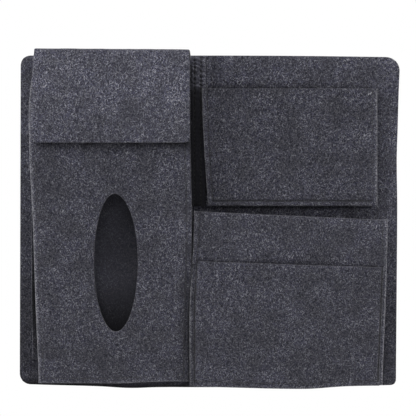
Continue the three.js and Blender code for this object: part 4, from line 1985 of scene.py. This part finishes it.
TUFTS = {
    Pile.HOOKS: Tuft(0.10 * MM, 1.9 * MM, 0.26 * MM, math.radians(215), (0.0, math.pi)),
    Pile.LOOPS: Tuft(0.06 * MM, 1.25 * MM, 0.42 * MM, math.pi, (0.3, 2.2, 4.0, 1.2)),
}


@dataclass
class Tape:
    """A woven band with a pile of hooks or loops, sewn on along its border."""

    maker: Maker
    node: str
    pile: Pile
    facing: float
    body: Body
    rests_on: str
    web: float = 0.45 * MM
    rooted: float = 0.6
    rib: float = 0.06 * MM
    rib_pitch: float = 2.4 * MM
    border: float = 2.4 * MM
    border_share: float = 0.7
    hem: float = 1.3 * MM
    shortest_stem: float = 0.05 * MM
    RIB_STEPS = 4
    WIRE_SIDES = 4
    BEND_STEPS = 4

    def __post_init__(self) -> None:
        """Read the tape's reach and choose its pile."""
        self.span = self.maker.bench.span(self.node)
        self.base = self.span.back if self.facing > 0 else self.span.front
        self.tuft = TUFTS[self.pile]

    def place(self, point: Vector) -> Vector:
        """Turn a place across, up and off the middle of the band's back into the model's frame."""
        x, y = (self.span.left + self.span.right) / 2, (self.span.bottom + self.span.top) / 2
        return self.maker.bench.place(Vector((x + point.x, y + point.y, self.base + self.facing * point.z)))

    def finish(self, name: str, made: BMesh, material: Material) -> Object:
        """Put a shape where it belongs and dress it.

        Args:
            name: name of the piece.
            made: the shape, which is freed.
            material: its finish.

        Returns:
            The piece.
        """
        for vert in made.verts:
            vert.co = self.place(vert.co)
        bmesh.ops.recalc_face_normals(made, faces=made.faces)
        piece = mesh_object(name, made)
        piece.data.materials.append(material)
        return piece

    def band(self) -> BMesh:
        """Weave the band: a ribbed grid with a thinner border, given its thickness.

        Returns:
            The band about the middle of its back.
        """
        made = bmesh.new()
        width, height = self.span.width, self.span.height
        across, up = round(width / self.rib_pitch * self.RIB_STEPS), round(height / MM)
        bmesh.ops.create_grid(made, x_segments=across, y_segments=up, size=0.5)
        for vert in made.verts:
            x, y = vert.co.x * width, vert.co.y * height
            inset = min(width / 2 - abs(x), height / 2 - abs(y))
            rise = self.web * fade(self.border_share, 1.0, inset / self.border)
            vert.co = Vector((x, y, rise + self.rib * math.cos(2 * math.pi * x / self.rib_pitch)))
        lower = bmesh.ops.extrude_face_region(made, geom=made.faces[:], use_keep_orig=True)
        for vert in (item for item in lower["geom"] if isinstance(item, BMVert)):
            vert.co.z = 0.0
        return made

    def stand(self, made: BMesh, root: Vector, turn: float) -> None:
        """Bend one hook or loop from a short wire.

        Args:
            made: the bmesh that takes it.
            root: where it leaves the band.
            turn: way that it faces.
        """
        tuft = self.tuft
        top = self.span.front - self.span.back
        stem = max(self.shortest_stem, top - tuft.bend - tuft.wire - root.z)
        put = Matrix.Translation(root)
        ring = bmesh.ops.create_circle(
            made, cap_ends=True, segments=self.WIRE_SIDES, radius=tuft.wire, matrix=put
        )["verts"]
        geom = [*ring, *{edge for vert in ring for edge in vert.link_edges}, ring[0].link_faces[0]]
        risen = bmesh.ops.extrude_face_region(made, geom=geom)["geom"]
        tops = [item for item in risen if isinstance(item, BMVert)]
        bmesh.ops.translate(made, verts=tops, vec=(0.0, 0.0, stem))
        side = Vector((math.cos(turn), math.sin(turn), 0.0))
        centre = root + Vector((0.0, 0.0, stem)) + side * tuft.bend
        axis = Vector((0, 0, 1)).cross(side)
        bmesh.ops.spin(made, geom=risen, cent=centre, axis=axis, angle=tuft.sweep, steps=self.BEND_STEPS)

    def tufts(self) -> BMesh:
        """Stand the pile on the band: a small cell of tufts, repeated in even rows.

        Returns:
            The pile as one bmesh, about the middle of the band's back.
        """
        turns, pitch = self.tuft.turns, self.tuft.pitch
        cell = bmesh.new()
        for number, turn in enumerate(turns):
            self.stand(cell, Vector((number * pitch, 0.0, self.web * self.rooted)), turn)
        mesh = bpy.data.meshes.new("tufts")
        cell.to_mesh(mesh)
        cell.free()
        sizes, steps = (self.span.width, self.span.height), (len(turns) * pitch, pitch)
        across, up = (int((size - 2 * self.border) / step) for size, step in zip(sizes, steps))
        pile = bmesh.new()
        pile.from_mesh(repeated(mesh, (across, up), steps))
        reach = Vector(((across * len(turns) - 1) * pitch, (up - 1) * pitch, 0.0))
        bmesh.ops.translate(pile, verts=pile.verts, vec=-reach / 2)
        return pile

    def build(self) -> None:
        """Make the band, its pile and the stitches that hold it."""
        span, wardrobe = self.span, self.maker.wardrobe
        width, height = span.width, span.height
        hooked = self.pile is Pile.HOOKS
        slot = Slot.HOOK_TAPE if hooked else Slot.LOOP_TAPE
        nylon = wardrobe.hooks if hooked else wardrobe.loops
        band = self.finish(f"{self.node}_band", self.band(), wardrobe.web)
        pile = self.finish(f"{self.node}_{self.pile.value}", self.tufts(), nylon)
        self.maker.tie(band, self.body, [self.node], slot)
        self.maker.tie(pile, self.body, slot=slot)
        face = self.base + self.facing * self.web
        left, right = span.left + self.hem, span.right - self.hem
        bottom, top = span.bottom + self.hem, span.top - self.hem
        corners = [(left, bottom), (right, bottom), (right, top), (left, top)]
        rows = [StitchRow(first, last, lambda x, y: Vector((x, y, face)))
                for first, last in zip(corners, corners[1:] + corners[:1])]
        Thread(f"{self.node}_stitches", rows, finish=wardrobe.bobbin).build(self.maker, self.body)


def repeated(mesh: Mesh, counts: Sequence[int], steps: Sequence[float]) -> Mesh:
    """Repeat a mesh in even rows.

    Args:
        mesh: the shape to repeat.
        counts: how many times across and up.
        steps: distances across and up.

    Returns:
        One mesh with all of them.
    """
    cell = bpy.data.objects.new("cell", mesh)
    bpy.context.scene.collection.objects.link(cell)
    for axis, (count, step) in enumerate(zip(counts, steps)):
        array = cell.modifiers.new("rows", "ARRAY")
        array.count = count
        array.use_relative_offset = False
        array.use_constant_offset = True
        array.constant_offset_displace = [step if number == axis else 0.0 for number in range(3)]
    rows = bpy.data.meshes.new_from_object(cell.evaluated_get(bpy.context.evaluated_depsgraph_get()))
    bpy.data.objects.remove(cell)
    return rows


@dataclass
class Tapes:
    """The hook strips on the rear, and the hook and loop tapes under the flap."""

    maker: Maker

    def build(self) -> None:
        """Make the four tapes."""
        for node, pile, facing, body, rests_on in (
            ("upper_hook_strip", Pile.HOOKS, -1.0, Body.ORGANIZER, "back_panel"),
            ("lower_hook_strip", Pile.HOOKS, -1.0, Body.ORGANIZER, "back_panel"),
            ("flap_hook_tape", Pile.HOOKS, -1.0, Body.FLAP_FRONT, "flap_front_panel"),
            ("flap_loop_tape", Pile.LOOPS, 1.0, Body.ORGANIZER, "tissue_pocket_front"),
        ):
            Tape(self.maker, node, pile, facing, body, rests_on).build()


@dataclass(frozen=True)
class Lamp:
    """A soft lamp: its angles right of and above straight ahead in degrees, and its power in watts."""

    name: str
    azimuth: float
    elevation: float
    power: float


LAMPS = (
    Lamp("key", -25.0, 40.0, 27.0),
    Lamp("overhead", 0.0, 68.0, 40.0),
    Lamp("left", -50.0, 10.0, 26.0),
    Lamp("right", 50.0, 10.0, 24.0),
    Lamp("front", 0.0, 5.0, 24.0),
    Lamp("rear", 165.0, 25.0, 50.0),
)


@dataclass
class Studio:
    """The camera at the photograph's viewing angle, a pale floor and soft light."""

    bench: Bench
    distance: float = 0.900
    camera_up: float = 12.4 * MM
    camera_across: float = -0.9 * MM
    lens: float = 85.1
    sensor: float = 36.0
    floor_drop: float = 0.60
    floor_radius: float = 2.5
    floor_glow: float = 0.75
    floor_sides: int = 96
    floor_colour: tuple[float, ...] = grey(0.86, 0.99)
    floor_roughness: float = 0.85
    glow: float = 0.01
    glow_colour: tuple[float, ...] = (0.96, 0.98, 1.0, 1.0)
    lamp_distance: float = 3.2

    def camera(self) -> None:
        """Make the camera."""
        data = bpy.data.cameras.new("camera")
        data.lens = self.lens
        data.sensor_width = self.sensor
        camera = bpy.data.objects.new("camera", data)
        camera.location = self.bench.place(Vector((self.camera_across, self.camera_up, self.distance)))
        camera.rotation_euler = (math.pi / 2, 0.0, 0.0)
        bpy.context.scene.collection.objects.link(camera)
        bpy.context.scene.camera = camera

    def floor(self) -> None:
        """Make the pale floor, below the photograph's view."""
        made = bmesh.new()
        low = self.bench.span("back_panel").bottom - self.floor_drop
        put = Matrix.Translation(self.bench.place(Vector((0.0, low, 0.0))))
        sides, radius = self.floor_sides, self.floor_radius
        bmesh.ops.create_circle(made, cap_ends=True, segments=sides, radius=radius, matrix=put)
        floor = mesh_object("floor", made)
        graph = Graph.material("pale_floor")
        sockets = {"Base Color": self.floor_colour, "Roughness": self.floor_roughness}
        pale = graph.add("ShaderNodeBsdfPrincipled", None, sockets)
        white = graph.add("ShaderNodeEmission", None, {"Color": grey(1.0)})
        share = graph.background_rays() * self.floor_glow
        mixed = graph.add("ShaderNodeMixShader", None, {0: share, 1: pale, 2: white})
        graph.add("ShaderNodeOutputMaterial", None, {"Surface": mixed})
        floor.data.materials.append(graph.owner)

    def world(self) -> None:
        """Make the white surround, which is plain white to the camera and softer as light."""
        graph = Graph(bpy.data.worlds.new("surround"))
        lights = ((self.glow_colour, self.glow), (grey(1.0), 1.0))
        soft, white = (
            graph.add("ShaderNodeBackground", None, {"Color": colour, "Strength": strength})
            for colour, strength in lights
        )
        mixed = graph.add("ShaderNodeMixShader", None, {0: graph.background_rays(), 1: soft, 2: white})
        graph.add("ShaderNodeOutputWorld", None, {"Surface": mixed})
        bpy.context.scene.world = graph.owner

    def light(self, lamp: Lamp) -> None:
        """Make a square lamp that faces the panel.

        Args:
            lamp: its name, angles and power.
        """
        turn, rise = math.radians(lamp.azimuth), math.radians(lamp.elevation)
        level = math.cos(rise)
        way = Vector((math.sin(turn) * level, math.sin(rise), math.cos(turn) * level))
        data = bpy.data.lights.new(lamp.name, "AREA")
        data.shape = "SQUARE"
        data.size = self.lamp_distance / 2
        data.energy = lamp.power
        light = bpy.data.objects.new(lamp.name, data)
        light.location = self.bench.place(self.lamp_distance * way)
        back = self.bench.origin - light.location
        light.rotation_euler = back.to_track_quat("-Z", "Y").to_euler()
        bpy.context.scene.collection.objects.link(light)

    def build(self) -> None:
        """Make the whole studio."""
        self.camera()
        self.floor()
        self.world()
        for lamp in LAMPS:
            self.light(lamp)
        bpy.context.scene.view_settings.view_transform = "Standard"


def main() -> None:
    """Build the studio and every piece of the organizer."""
    logging.basicConfig(level=logging.INFO, format="%(name)s: %(message)s")
    bench = Bench()
    Studio(bench).build()
    maker = Maker(bench, Wardrobe())
    for assembly in (BackPanel, TissuePocket, OuterStrip, Flap, UpperPocket, LowerPocket, RearSeams, Tapes):
        assembly(maker).build()


if __name__ == "__main__":
    main()
